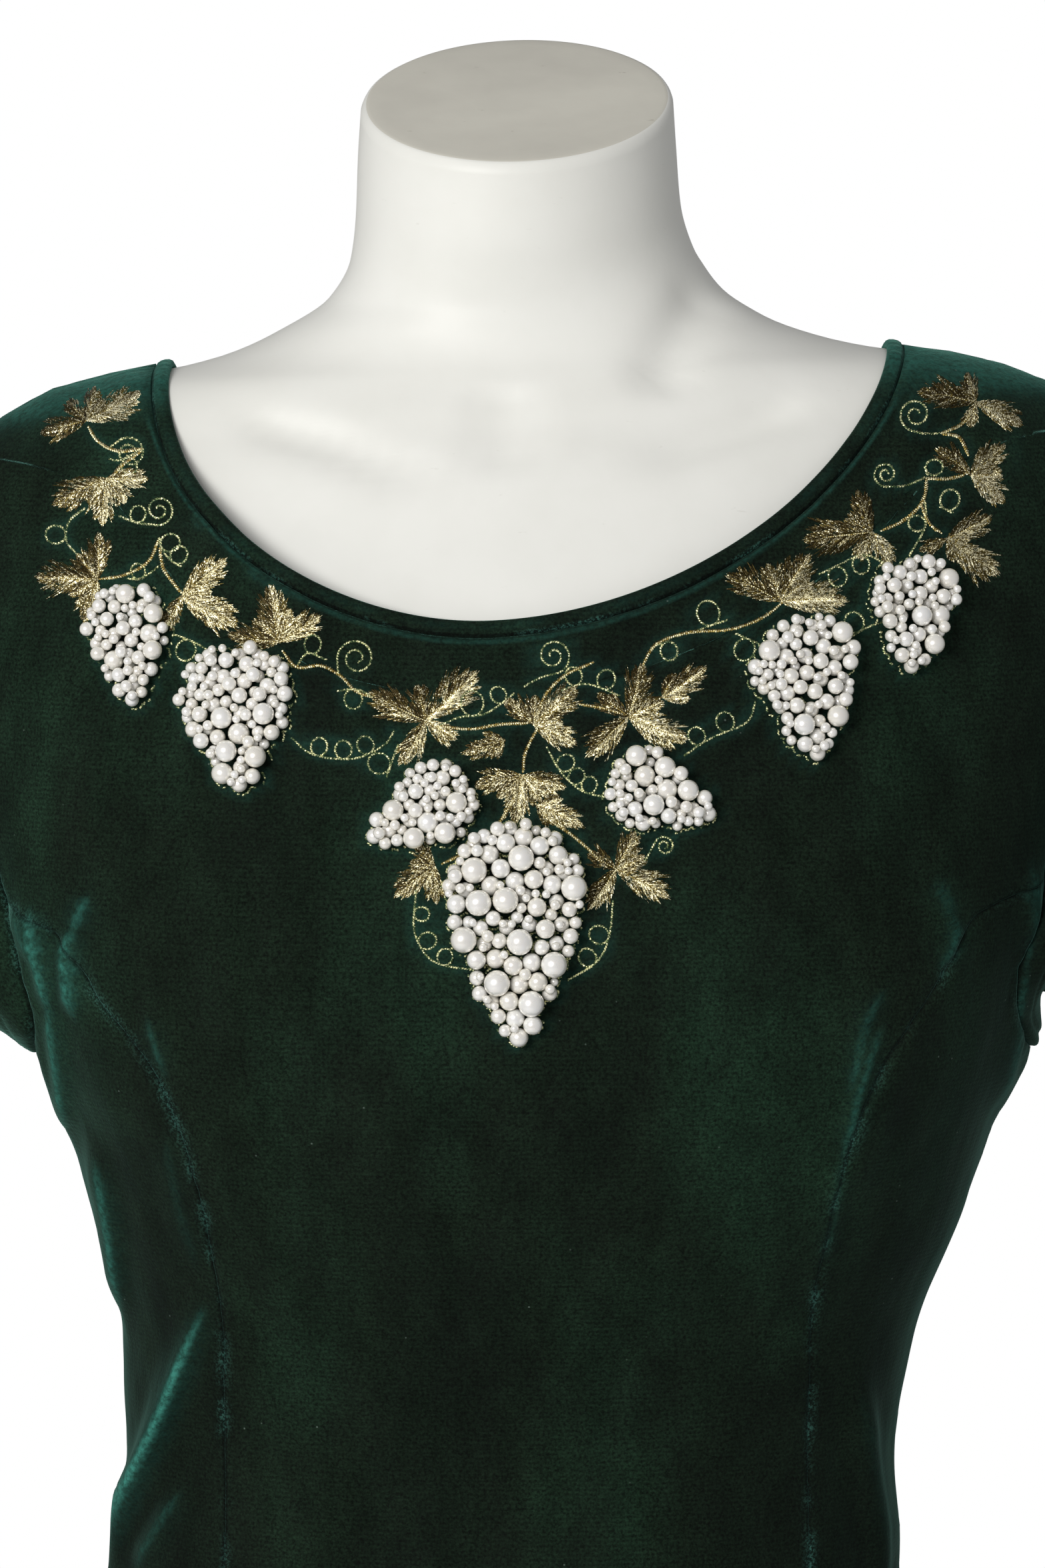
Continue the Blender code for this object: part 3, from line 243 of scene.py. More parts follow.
# A stem is a satin-stitched cord through its points.
STEMS = (
    ((133, 640), (148, 662), (178, 676), (216, 672)),
    ((214, 674), (196, 688), (176, 704), (167, 722)),
    ((150, 868), (186, 862), (222, 842), (238, 808)),
    ((240, 822), (246, 852), (262, 876), (276, 892)),
    ((424, 976), (446, 1000), (482, 998), (512, 1014), (534, 1036), (560, 1046)),
    ((655, 1088), (706, 1093), (750, 1086), (796, 1084)),
    ((890, 993), (848, 1012), (818, 1042), (804, 1078)),
    ((806, 1092), (788, 1128), (784, 1160)),
    ((776, 1186), (744, 1240), (700, 1276), (662, 1296)),
    ((828, 1232), (866, 1258), (910, 1298)),
    ((870, 1056), (906, 1062), (938, 1072)),
    ((1176, 902), (1140, 928), (1092, 944), (1034, 948), (984, 966), (960, 1006)),
    ((1322, 796), (1356, 780), (1384, 752), (1390, 716)),
    ((1382, 756), (1396, 786), (1414, 800)),
    ((1390, 717), (1420, 718), (1448, 712)),
    ((1460, 612), (1442, 636), (1410, 650)),
    ((1412, 650), (1440, 656), (1454, 684)),
)
# A tendril runs through its points; then (share of its length, radius, side) for each loop, and
# the radius and side of the curl that ends it, if it has one.
TENDRILS = (
    (((165, 671), (180, 660)), (), (24, 1)),
    (((216, 674), (180, 690), (164, 688)), ((0.6, 13, -1),), None),
    (((128, 762), (104, 782), (100, 812), (122, 838)), ((0.55, 15, 1),), None),
    (((178, 774), (204, 784), (236, 788)), ((0.5, 13, -1),), (23, -1)),
    (((238, 806), (244, 826), (258, 842), (272, 850)), ((0.25, 15, -1), (0.85, 14, -1)), None),
    (((190, 868), (212, 868), (238, 850)), ((0.4, 12, -1),), None),
    (((262, 952), (288, 962), (318, 978)), ((0.4, 16, 1),), None),
    (((446, 998), (462, 980), (490, 990)), ((0.55, 14, -1),), None),
    (((508, 1012), (506, 990)), (), (29, 1)),
    (((560, 1046), (536, 1034), (506, 1036)), ((0.6, 15, -1),), None),
    (((436, 1106), (470, 1132), (530, 1138), (576, 1118), (592, 1096)),
     ((0.28, 14, -1), (0.5, 14, -1), (0.72, 14, -1)), None),
    (((598, 1116), (588, 1142), (580, 1166)), ((0.7, 17, 1),), None),
    (((660, 1088), (690, 1076), (730, 1070), (772, 1040)), ((0.45, 19, -1), (0.85, 13, -1)), None),
    (((786, 1030), (812, 1016), (836, 1010)), (), (27, -1)),
    (((842, 1036), (880, 1026), (930, 1044)), ((0.3, 14, -1), (0.7, 15, -1)), None),
    (((820, 1120), (840, 1156), (872, 1186), (908, 1196)),
     ((0.3, 14, -1), (0.55, 13, -1), (0.78, 13, -1)), None),
    (((624, 1334), (622, 1398), (650, 1442), (712, 1456)),
     ((0.2, 12, -1), (0.48, 14, -1), (0.74, 13, -1)), None),
    (((920, 1350), (914, 1404), (896, 1442), (852, 1470)),
     ((0.38, 15, 1), (0.72, 14, 1)), None),
    (((968, 1292), (984, 1262)), (), (15, 1)),
    (((1046, 946), (1062, 940), (1092, 930)), ((0.5, 19, -1),), None),
    (((984, 968), (1004, 962)), ((0.8, 14, 1),), None),
    (((1140, 966), (1104, 950)), ((0.5, 17, -1),), None),
    (((1026, 1134), (1066, 1108), (1120, 1084), (1134, 1052)),
     ((0.25, 14, -1), (0.56, 15, -1)), None),
    (((1228, 862), (1262, 846), (1296, 832), (1330, 846)), ((0.25, 15, 1), (0.62, 14, 1)), None),
    (((1276, 956), (1300, 942), (1332, 930)), ((0.3, 16, -1),), None),
    (((1388, 752), (1388, 790), (1364, 834)), ((0.45, 13, 1),), None),
    (((1388, 716), (1360, 728), (1330, 730)), (), (19, 1)),
    (((1392, 714), (1388, 700)), ((0.7, 13, 1),), None),
    (((1410, 760), (1430, 770)), ((0.5, 16, -1),), None),
    (((1410, 650), (1386, 650), (1368, 646)), (), (25, 1)),
)

# ---- Pearl bunches, as in the part's source -----------------------------------------------------------
# Name, place (x, height), width, length, turn (degrees), scale of its pearls, seed.
BUNCHES = (
    ("pearls_1", -124.0, 1331.5, 27.0, 39.0, 4.0, 0.76, 11),
    ("pearls_2", -89.0, 1308.0, 37.5, 46.0, 3.0, 0.84, 12),
    ("pearls_3", -31.0, 1278.5, 26.5, 37.0, -62.0, 0.82, 13),
    ("pearls_4", -0.5, 1239.5, 46.0, 70.0, 2.0, 1.0, 14),
    ("pearls_5", 46.0, 1281.5, 25.5, 37.0, 66.0, 0.82, 15),
    ("pearls_6", 92.5, 1312.5, 34.5, 46.0, 8.0, 0.84, 16),
    ("pearls_7", 127.0, 1334.0, 28.5, 37.0, -4.0, 0.80, 17),
)
# Radius of a pearl, how often one is picked, and the rings of points on the solid's dome.
PEARLS = ((4.2, 0.16, 2), (3.1, 0.34, 1), (2.5, 0.36, 0), (2.05, 0.14, 0))
PEARL_NEARNESS = 0.955  # distance between two touching pearls as seen, as a share of their radii's sum
PEARL_MOST_LIFT = 3.0  # how far a pearl may stand off the cloth on its neighbours
FILLING_RADII, FILLING_NEARNESS = (2.4, 2.0, 1.7, 1.4), 0.92
FILLING_TRIES, FILLING_MOST_LIFT = 2200, 4.0
PEARL_PIXELS_PER_MM = 4.7  # the bunches are nearer the camera than its aim
OUTLINE_GAP, OUTLINE_SHARE = 0.25, 0.6  # mm outside a pearl, share of the stitches that are made


# ---- The worn surface, for arrays of places ---------------------------------------------------------
def smooth_curve(xs, ys):
    """A function of arrays through the points, without overshoot (monotone cubic)."""
    xs, ys = np.array(xs, float), np.array(ys, float)
    steps = np.diff(xs)
    slopes = np.diff(ys) / steps
    tangents = np.zeros(len(xs))
    tangents[0], tangents[-1] = slopes[0], slopes[-1]
    for i in range(1, len(xs) - 1):
        if slopes[i - 1] * slopes[i] > 0:
            w0, w1 = 2 * steps[i] + steps[i - 1], steps[i] + 2 * steps[i - 1]
            tangents[i] = (w0 + w1) / (w0 / slopes[i - 1] + w1 / slopes[i])

    def value(x):
        x = np.clip(x, xs[0], xs[-1])
        i = np.clip(np.searchsorted(xs, x, side="right") - 1, 0, len(steps) - 1)
        h, t = steps[i], (x - xs[i]) / steps[i]
        return (
            (1 + 2 * t) * (1 - t) ** 2 * ys[i]
            + t * (1 - t) ** 2 * h * tangents[i]
            + t * t * (3 - 2 * t) * ys[i + 1]
            + t * t * (t - 1) * h * tangents[i + 1]
        )

    return value


def curves_of(columns, rows):
    data = list(zip(*rows))
    return {name: smooth_curve(data[0], data[i]) for i, name in enumerate(columns) if i}


DRESS = curves_of(DRESS_COLUMNS, DRESS_SECTIONS)
FORM = curves_of(FORM_COLUMNS, FORM_SECTIONS)


def ease_in(value):
    value = np.clip(value, 0.0, 1.0)
    return value * value * (3 - 2 * value)


def mix(a, b, share):
    return a + (b - a) * share


def unit_rows(vectors):
    return vectors / np.maximum(np.linalg.norm(vectors, axis=-1, keepdims=True), 1e-9)


def unit(step):
    return step / max(np.linalg.norm(step), 1e-6)


def bell(off, width):
    """1 in the middle, falling to nothing about two widths off it."""
    return np.exp(-((off / width) ** 2))


def worn(points):
    """The shoulders are worn a little higher on +X."""
    share = ease_in((points[..., 2] - TILT_FROM) / (TILT_TO - TILT_FROM))
    moved = points.copy()
    moved[..., 2] += WORN_TILT * share * points[..., 0]
    return moved


def level_points(angle, height, left, right, front, back, power):
    """Points on level sections, each a rounded box between an ellipse and a square."""
    cos, sin = np.cos(np.radians(angle)), np.sin(np.radians(angle))
    x = np.where(sin > 0, right, left) * np.sign(sin) * np.abs(sin) ** (2 / power)
    y = -np.where(cos > 0, front, back) * np.sign(cos) * np.abs(cos) ** (2 / power)
    return np.stack([x, y, height + 0 * x], axis=-1)


def base_points(angle, height):
    angle, height = np.broadcast_arrays(np.asarray(angle, float), np.asarray(height, float))
    return worn(level_points(angle, height, **{n: DRESS[n](height) for n in DRESS_COLUMNS[1:]}))


def across(angle, towards):
    """Signed degrees from one angle to another, the short way round."""
    return (angle - towards + 180) % 360 - 180


def fold_rise(angle, height, fold):
    """Rise of one broad fold, which fades out past both of its ends."""
    from_angle, from_height, to_angle, to_height, width, rise = fold
    along_x, along_z = across(to_angle, from_angle) * MM_PER_DEGREE, to_height - from_height
    x, z = across(angle, from_angle) * MM_PER_DEGREE, height - from_height
    length = math.hypot(along_x, along_z)
    share = (x * along_x + z * along_z) / length**2
    off = (x * along_z - z * along_x) / length
    ends = ease_in((share + 0.25) / 0.5) * ease_in((1.25 - share) / 0.5)
    return rise * bell(off, width) * ends


def relief(angle, height):
    """Rise of the broad folds, the bust and the skirt's flutes over the sections."""
    rise = sum(fold_rise(angle, height, fold) for fold in FOLDS)
    for side in (-1, 1):
        off = across(angle, side * BUST_ANGLE) * MM_PER_DEGREE
        rise = rise + BUST_FULLNESS * np.exp(
            -((off**2 + (height - BUST_HEIGHT) ** 2) / BUST_SPREAD**2))
    down = ease_in((FLUTE_TOP_HEIGHT - height) / (FLUTE_TOP_HEIGHT - HEM_HEIGHT))
    return rise + FLUTE_DEPTH * down * np.cos(np.radians(FLUTE_COUNT * angle + 25))


def normals_of(surface, angle, height, step=0.4):
    along = surface(angle + step, height) - surface(angle - step, height)
    up = surface(angle, height + step) - surface(angle, height - step)
    return unit_rows(np.cross(along, up))


def dress_points(angle, height):
    rise = relief(angle, height)[..., None]
    return base_points(angle, height) + rise * normals_of(base_points, angle, height)


def dress_places(angle, height):
    """Points on the worn surface and the normals there."""
    return dress_points(angle, height), normals_of(dress_points, angle, height)


def angle_at(x, height):
    half_width = np.where(x > 0, DRESS["right"](height), DRESS["left"](height))
    share = np.minimum(np.abs(x) / half_width, 0.9999) ** (DRESS["power"](height) / 2)
    return np.sign(x) * np.degrees(np.arcsin(share))


# ---- The photograph's pixels on the worn surface --------------------------------------------------------
ELEVATION = math.radians(CAMERA_ELEVATION)
FORWARD = np.array([0.0, math.cos(ELEVATION), -math.sin(ELEVATION)])
UPWARD = np.array([0.0, math.sin(ELEVATION), math.cos(ELEVATION)])
CAMERA_AT = np.array(AIM) - CAMERA_DISTANCE * FORWARD
FOCAL_PIXELS = PIXELS_PER_MM * CAMERA_DISTANCE


def seen_places(px, py):
    """The place (angle, height) on the dress's front that shows at each pixel."""
    px, py = np.asarray(px, float), np.asarray(py, float)
    right = (px - PHOTO_WIDTH / 2) / FOCAL_PIXELS
    up = (PHOTO_HEIGHT / 2 - py) / FOCAL_PIXELS
    ray = FORWARD + up[..., None] * UPWARD
    ray[..., 0] += right
    y, off = np.full(px.shape, -100.0), np.zeros((*px.shape, 3))
    for _ in range(10):
        point = CAMERA_AT + ray * ((y - CAMERA_AT[1]) / ray[..., 1])[..., None]
        base = point - off
        height = base[..., 2] - WORN_TILT * base[..., 0] * ease_in(
            (base[..., 2] - TILT_FROM) / (TILT_TO - TILT_FROM))
        angle = angle_at(base[..., 0], height)
        there = dress_points(angle, height)
        y, off = there[..., 1], there - base_points(angle, height)
    return angle, height


def photo_pixels(points):
    """Where points (mm) show in the photograph."""
    from_camera = points - CAMERA_AT
    depth = from_camera @ FORWARD
    px = PHOTO_WIDTH / 2 + FOCAL_PIXELS * from_camera[..., 0] / depth
    return px, PHOTO_HEIGHT / 2 - FOCAL_PIXELS * (from_camera @ UPWARD) / depth


def spline(points, spacing):
    """Evenly spaced points on a smooth line through the given ones."""
    knots = [np.array(p, float) for p in points]
    if len(knots) == 2:
        dense = [mix(knots[0], knots[1], t) for t in np.linspace(0, 1, 20)]
    else:
        padded = [2 * knots[0] - knots[1], *knots, 2 * knots[-1] - knots[-2]]
        dense = []
        for p0, p1, p2, p3 in zip(padded, padded[1:], padded[2:], padded[3:]):
            for t in np.linspace(0, 1, 24, endpoint=False):
                dense.append(0.5 * (2 * p1 + (p2 - p0) * t + (2 * p0 - 5 * p1 + 4 * p2 - p3) * t**2
                                    + (3 * p1 - p0 - 3 * p2 + p3) * t**3))
        dense.append(knots[-1])
    dense = np.array(dense)
    run = np.concatenate([[0], np.cumsum(np.linalg.norm(np.diff(dense, axis=0), axis=1))])
    at = np.linspace(0, run[-1], max(int(run[-1] / spacing), 2) + 1)
    return np.stack([np.interp(at, run, dense[:, i]) for i in (0, 1)], axis=1)


def along_line(px, py, corners):
    """Share of the way along a smooth line, and distance from it, for pixels."""
    line = spline(corners, 24.0)
    best, share_at = np.full(px.shape, 1e9), np.zeros(px.shape)
    for i, ((ax, ay), (bx, by)) in enumerate(zip(line, line[1:])):
        long2 = (bx - ax) ** 2 + (by - ay) ** 2
        share = np.clip(((px - ax) * (bx - ax) + (py - ay) * (by - ay)) / long2, 0, 1)
        off = np.hypot(px - ax - share * (bx - ax), py - ay - share * (by - ay))
        share_at = np.where(off < best, (i + share) / (len(line) - 1), share_at)
        best = np.minimum(best, off)
    return share_at, best


def creases(points):
    """Rise and painted sheen of the narrow folds, from where points of the front show in the photograph.
    """
    px, py = photo_pixels(points)
    rise, sheen = np.zeros(px.shape), np.zeros(px.shape)
    front = points[..., 1] < CREASES_REACH_BACK
    for x0, y0, x1, y1, x2, y2, width, height, light in CREASES:
        share, off = along_line(px, py, ((x0, y0), (x1, y1), (x2, y2)))
        ends = np.clip(4 * np.minimum(share + 0.02, 1.02 - share), 0, 1) ** 0.8
        rise += height * ends * bell(off, PIXELS_PER_MM * max(width, LEAST_CREASE_WIDTH))
        narrow = max(PIXELS_PER_MM * width * 0.30, LEAST_GLOW_PIXELS)
        glow = 0.85 * bell(off, narrow) + 0.15 * bell(off, 4 * narrow)
        sheen = np.maximum(sheen, light * ends * glow)
    return np.where(front, rise, 0.0), np.where(front, sheen, 0.0)


# ---- Seam lines -----------------------------------------------------------------------------------
def armhole_half_angle(way, waves):
    """Degrees from the side seam to the armhole, 0 at its bottom and 180 at the shoulder point."""
    return sum(size * np.sin(np.radians((i + 1) * way)) for i, size in enumerate(waves))


def armhole_height(way):
    span = SHOULDER_POINT_HEIGHT - UNDERARM_HEIGHT
    return UNDERARM_HEIGHT + span * (1 - np.cos(np.radians(way))) / 2


def princess_curve(side):
    heights = [row[0] for row in PRINCESS_SEAM] + [float(armhole_height(PRINCESS_WAY))]
    angles = [abs(float(angle_at(side * row[1], row[0]))) for row in PRINCESS_SEAM]
    angles.append(90 - float(armhole_half_angle(PRINCESS_WAY, ARMHOLE_FRONT)))
    return smooth_curve(heights, angles)


PRINCESS = {side: princess_curve(side) for side in (-1, 1)}


def neckline(middle_height, shift, power, front):
    """Neck edge's height at each angle from the centre line."""
    drop = NECK_SIDE_HEIGHT - middle_height

    def height_at(from_centre):
        from_centre = np.asarray(from_centre, float)
        angle = from_centre if front else 180 - from_centre
        side = np.where(from_centre < 0, -90.0, 90.0)
        half_width = np.abs(base_points(side, NECK_SIDE_HEIGHT)[..., 0])
        low, high = np.full(angle.shape, middle_height), np.full(angle.shape, NECK_SIDE_HEIGHT)
        for _ in range(30):
            height = (low + high) / 2
            depth = np.minimum((NECK_SIDE_HEIGHT - height) / drop, 1.0)
            scoop = half_width * np.sqrt(1 - np.maximum(depth, 0.0) ** power)
            under = scoop < np.abs(base_points(angle, height)[..., 0] - shift * depth)
            low, high = np.where(under, height, low), np.where(under, high, height)
        return (low + high) / 2

    return height_at


FRONT_NECK = neckline(FRONT_NECK_HEIGHT, FRONT_NECK_SHIFT, FRONT_NECK_POWER, front=True)
BACK_NECK = neckline(BACK_NECK_HEIGHT, 0.0, BACK_NECK_POWER, front=False)


# ---- Materials --------------------------------------------------------------------------------------
class Look:
    """A material in the making: each method adds a node and gives its output."""

    def __init__(self, name):
        self.made = bpy.data.materials.new(name)
        self.made.use_nodes = True
        self.tree = self.made.node_tree
        self.place = self.add("TexCoord", {}, "Object")

    def fill(self, node, inputs):
        for key, value in inputs.items():
            if isinstance(value, bpy.types.NodeSocket):
                self.tree.links.new(value, node.inputs[key])
            else:
                node.inputs[key].default_value = value

    def add(self, kind, inputs, output=0, **settings):
        node = self.tree.nodes.new("ShaderNode" + kind)
        for key, value in settings.items():
            setattr(node, key, value)
        self.fill(node, inputs)
        return node.outputs[output]

    def noise(self, scale, detail=3.0, rough=0.55, stretch=None, place=None):
        place = self.place if place is None else place
        if stretch:
            place = self.add("Mapping", {"Vector": place, "Scale": stretch})
        return self.add("TexNoise", {"Vector": place, "Scale": scale, "Detail": detail,
                                     "Roughness": rough})

    def ramp(self, factor, *stops):
        """A colour for each value of a factor; a number stands for a grey."""
        output = self.add("ValToRGB", {"Fac": factor})
        elements = output.node.color_ramp.elements
        while len(elements) < len(stops):
            elements.new(0.5)
        for element, (place, colour) in zip(elements, stops):
            element.position = place
            element.color = (*(colour if isinstance(colour, tuple) else (colour,) * 3), 1.0)
        return output

    def maths(self, one, other, operation="MULTIPLY"):
        return self.add("Math", {0: one, 1: other}, operation=operation)

    def mixed(self, factor, one, other, blend="MIX"):
        return self.add("Mix", {"Factor": factor, 6: one, 7: other}, 2,
                        data_type="RGBA", blend_type=blend)

    def kept(self, word):
        """A value that the mesh keeps for each of its points."""
        return self.add("Attribute", {}, "Fac", attribute_name=word)

    def facing(self):
        return self.add("LayerWeight", {"Blend": 0.5}, "Facing")

    def bump(self, height, strength, distance, **below):
        return self.add("Bump", {"Strength": strength, "Distance": distance, "Height": height, **below})

    def finish(self, inputs):
        self.fill(self.tree.nodes["Principled BSDF"], inputs)
        return self.made


PILE_STRETCH = (1.0, 1.0, 0.35)


def velvet_material():
    """Dark pile with fine ribs and lint, with painted teal sheen on folds, seam edges, shoulders and near
    the embroidery, and painted lighter flanks.
    """
    look = Look("green velvet")
    brushed = look.noise(60.0, 4.0, 0.6, PILE_STRETCH)
    broad = look.noise(11.0, 4.0, 0.55, (1.0, 1.0, 0.42))
    patches = look.noise(70.0, 3.0, 0.6, (1.0, 1.0, 0.6))
    pile = look.noise(1100.0, 2.0, 0.7)
    ribs = look.add("TexWave", {"Vector": look.place, "Scale": 205.0, "Distortion": 2.4, "Detail": 2.0,
                                "Detail Scale": 3.0}, "Fac", bands_direction="Z")
    colour = look.ramp(broad, (0.34, (0.0030, 0.0068, 0.0038)), (0.50, (0.0044, 0.0100, 0.0054)),
                       (0.68, (0.0066, 0.0190, 0.0102)))
    for factor, low, high in ((patches, (0.3, 0.72), (0.7, 1.32)), (ribs, (0.2, 0.88), (0.8, 1.10)),
                              (pile, (0.32, 0.35), (0.68, 1.8))):
        colour = look.mixed(1.0, colour, look.ramp(factor, low, high), "MULTIPLY")
    # Painted sheen: where the velvet turns away from the view, its flanks are painted a little lighter and
    # greyer.
    painted_flank_sheen = look.ramp(look.facing(), (0.50, 0.0), (0.80, (0.003, 0.006, 0.005)),
                      (1.0, (0.016, 0.040, 0.034)))
    colour = look.mixed(1.0, colour, painted_flank_sheen, "ADD")
    # Painted teal sheen, broken up unevenly, where the mesh keeps a sheen: on folds, shoulders, the neck
    # edge, the binding and near the embroidery.
    uneven = look.ramp(look.noise(480.0, 3.0, 0.7), (0.36, 0.45), (0.64, 1.25))
    colour = look.mixed(look.maths(look.kept("sheen"), uneven), colour, (0.05, 0.25, 0.20, 1.0))
    # The seams are dark lines with broken light edges, which are painted sheen.
    seam = look.kept("seam")
    colour = look.mixed(1.0, colour, look.ramp(seam, (0.70, 1.0), (0.97, 0.35)), "MULTIPLY")
    broken = look.maths(look.ramp(look.noise(44.0, 3.0, 0.6), (0.48, 0.03), (0.66, 0.75)),
                        look.ramp(pile, (0.47, 0.05), (0.62, 0.60)))
    colour = look.mixed(look.maths(seam, broken), colour, (0.07, 0.22, 0.18, 1.0))
    # Lint.
    lint = look.add("TexVoronoi", {"Vector": look.place, "Scale": 120.0, "Randomness": 1.0}, "Distance")
    specks = look.ramp(lint, (0.0, 1.0), (0.05, 0.0))
    few = look.ramp(look.noise(31.0, 0.0), (0.52, 0.0), (0.60, 0.8))
    colour = look.mixed(look.maths(specks, few), colour, (0.15, 0.20, 0.17, 1.0))
    fine = look.bump(pile, 0.45, 0.0004)
    lines = look.bump(ribs, 0.12, 0.0004, Normal=fine)
    return look.finish({
        "Base Color": colour,
        "Roughness": look.ramp(brushed, (0.3, 0.85), (0.7, 1.0)),
        "Specular IOR Level": 0.12,
        "Sheen Weight": 0.40,
        "Sheen Roughness": 0.30,
        "Sheen Tint": (0.16, 0.42, 0.34, 1.0),
        "Normal": look.bump(brushed, 0.40, 0.0018, Normal=lines),
    })


def lining_material():
    look = Look("green lining")
    return look.finish({
        "Base Color": look.ramp(look.noise(9.0, 3.0, 0.5), (0.3, (0.004, 0.030, 0.022)),
                                (0.7, (0.008, 0.050, 0.036))),
        "Roughness": 0.38,
        "Normal": look.bump(look.noise(60.0, 4.0, 0.6, PILE_STRETCH), 0.15, 0.0004),
    })


THREAD_GLOSS, THREAD_METAL = 0.34, 0.75


def thread_material(name, dark, middle, light, roughness=THREAD_GLOSS):
    """Metallic thread: a stitch's shade says how much of its run gets painted glints, bright flecks of the
    light colour, fleck by fleck.
    """
    look = Look(name)
    own = look.kept("shade")
    twist = look.noise(1000.0, 2.0, 0.6)
    along = look.add("CombineXYZ", {0: look.maths(look.kept("run"), 1.7), 1: look.kept("seed")})
    flecks = look.noise(1.0, 0.0, place=along)
    # Painted glints: bright flecks along each stitch's run.
    glint = look.ramp(look.maths(flecks, look.maths(own, 0.34), "ADD"), (0.71, 0.0), (0.79, 1.0))
    ground = look.ramp(look.maths(look.maths(own, 0.5), look.maths(twist, 0.5), "ADD"),
                       (0.30, dark), (0.68, middle))
    return look.finish({
        "Base Color": look.mixed(glint, ground, (*light, 1.0)),
        "Metallic": THREAD_METAL,
        "Roughness": look.ramp(twist, (0.3, roughness - 0.06), (0.7, roughness + 0.16)),
        "Normal": look.bump(twist, 0.7, 0.0003),
    })


def pearl_material():
    """Nacre with painted reflections by how far it turns from the view: greyest in its middle, creamy and
    bright round it, and brown at its very edge.
    """
    look = Look("pearl")
    cloud = look.noise(260.0, 2.0, 0.5)
    total = look.maths(look.maths(look.kept("shade"), cloud, "ADD"), 2.0, "DIVIDE")
    colour = look.ramp(total, (0.3, (0.93, 0.90, 0.82)), (0.5, (0.98, 0.96, 0.91)),
                       (0.7, (1.0, 1.0, 0.98)))
    # Painted reflection: a bright creamy ring and a brown edge, by how far the pearl turns from the view.
    edge = look.ramp(look.facing(), (0.02, (0.93, 0.92, 0.93)), (0.25, 0.97), (0.50, (1.0, 1.0, 0.99)),
                     (0.80, (1.0, 0.98, 0.91)), (0.98, (0.76, 0.65, 0.47)))
    return look.finish({
        "Base Color": look.mixed(1.0, colour, edge, "MULTIPLY"),
        "Roughness": look.ramp(cloud, (0.3, 0.24), (0.7, 0.34)),
        "Specular IOR Level": 0.8,
        "Coat Weight": 1.0,
        "Coat Roughness": 0.07,
        "Coat IOR": 1.7,
        "Metallic": 0.25,
        "Subsurface Weight": 0.10,
        "Subsurface Radius": (1.0, 0.9, 0.75),
        "Subsurface Scale": 0.003,
        "Normal": look.bump(cloud, 0.06, 0.0002),
    })


def shell_material(name, light, dark, stain):
    """Painted moulded shell: faint mottling, scuffs and a fine orange-peel surface."""
    look = Look(name)
    cloud = look.noise(16.0, 4.0, 0.6)
    rare = look.ramp(look.noise(120.0, 3.0, 0.7, (1.0, 1.0, 3.0)), (0.70, 0.0), (0.76, stain))
    return look.finish({
        "Base Color": look.mixed(rare, look.ramp(cloud, (0.32, dark), (0.62, light)),
                                 (0.36, 0.33, 0.27, 1.0)),
        "Roughness": look.ramp(cloud, (0.3, 0.40), (0.7, 0.52)),
        "Specular IOR Level": 0.35,
        "Normal": look.bump(look.noise(420.0, 2.0, 0.5), 0.08, 0.0004),
    })


def metal_material(name, light, dark, roughness, metallic=1.0):
    look = Look(name)
    lines = look.noise(90.0, 4.0, 0.6, (1.0, 1.0, 0.06))
    return look.finish({
        "Base Color": look.ramp(look.noise(14.0, 4.0, 0.6), (0.35, dark), (0.65, light)),
        "Metallic": metallic,
        "Roughness": look.ramp(lines, (0.3, roughness - 0.07), (0.7, roughness + 0.10)),
        "Normal": look.bump(lines, 0.10, 0.0002),
    })


def floor_material():
    look = Look("pale floor")
    return look.finish({"Base Color": look.ramp(look.noise(3.0), (0.3, 0.80), (0.7, 0.84)),
                        "Roughness": 0.75})


VELVET = velvet_material()
LINING = lining_material()
GOLD = thread_material("gold thread", (0.045, 0.031, 0.007), (0.23, 0.175, 0.042), (1.0, 0.94, 0.66))
CORD = thread_material("bright gold cord", (0.11, 0.07, 0.014), (0.42, 0.32, 0.09), (1.0, 0.94, 0.60))
CHAIN = thread_material("green gold thread", (0.02, 0.06, 0.035), (0.15, 0.20, 0.08),
                        (0.88, 0.86, 0.50))
SEWN = thread_material("green sewing thread", (0.004, 0.012, 0.008), (0.010, 0.032, 0.022),
                       (0.05, 0.12, 0.09), 0.6)
PEARL = pearl_material()
SHELL = shell_material("form paint", (0.86, 0.86, 0.82), (0.815, 0.815, 0.77), 0.14)
CAP = shell_material("form cap", (0.72, 0.70, 0.62), (0.63, 0.61, 0.54), 0.40)
STEEL = metal_material("satin steel", (0.62, 0.62, 0.63), (0.50, 0.50, 0.52), 0.30)
ENAMEL = metal_material("green enamelled metal", (0.02, 0.11, 0.075), (0.012, 0.07, 0.05), 0.33, 0.6)


# ---- Meshes --------------------------------------------------------------------------------------
def new_object(name, points, faces, finishes, face_finish=None, slot=None, flat=0, **values):
    """A smooth piece from points in millimetres that rides on the dress and its form.

    Its last faces can be flat, and each further value is kept for the materials, point by point.
    """
    mesh = bpy.data.meshes.new(name)
    mesh.from_pydata((np.asarray(points) * MM).tolist(), [], faces)
    count = len(mesh.polygons)
    mesh.polygons.foreach_set("use_smooth", [i < count - flat for i in range(count)])
    for finish in finishes:
        mesh.materials.append(finish)
    if face_finish is not None:
        mesh.polygons.foreach_set("material_index", face_finish)
    for key, value in values.items():
        layer = mesh.attributes.new(key, "FLOAT", "POINT")
        layer.data.foreach_set("value", value)
    made = bpy.data.objects.new(name, mesh)
    bpy.context.scene.collection.objects.link(made)
    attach(made, BODY)
    return made


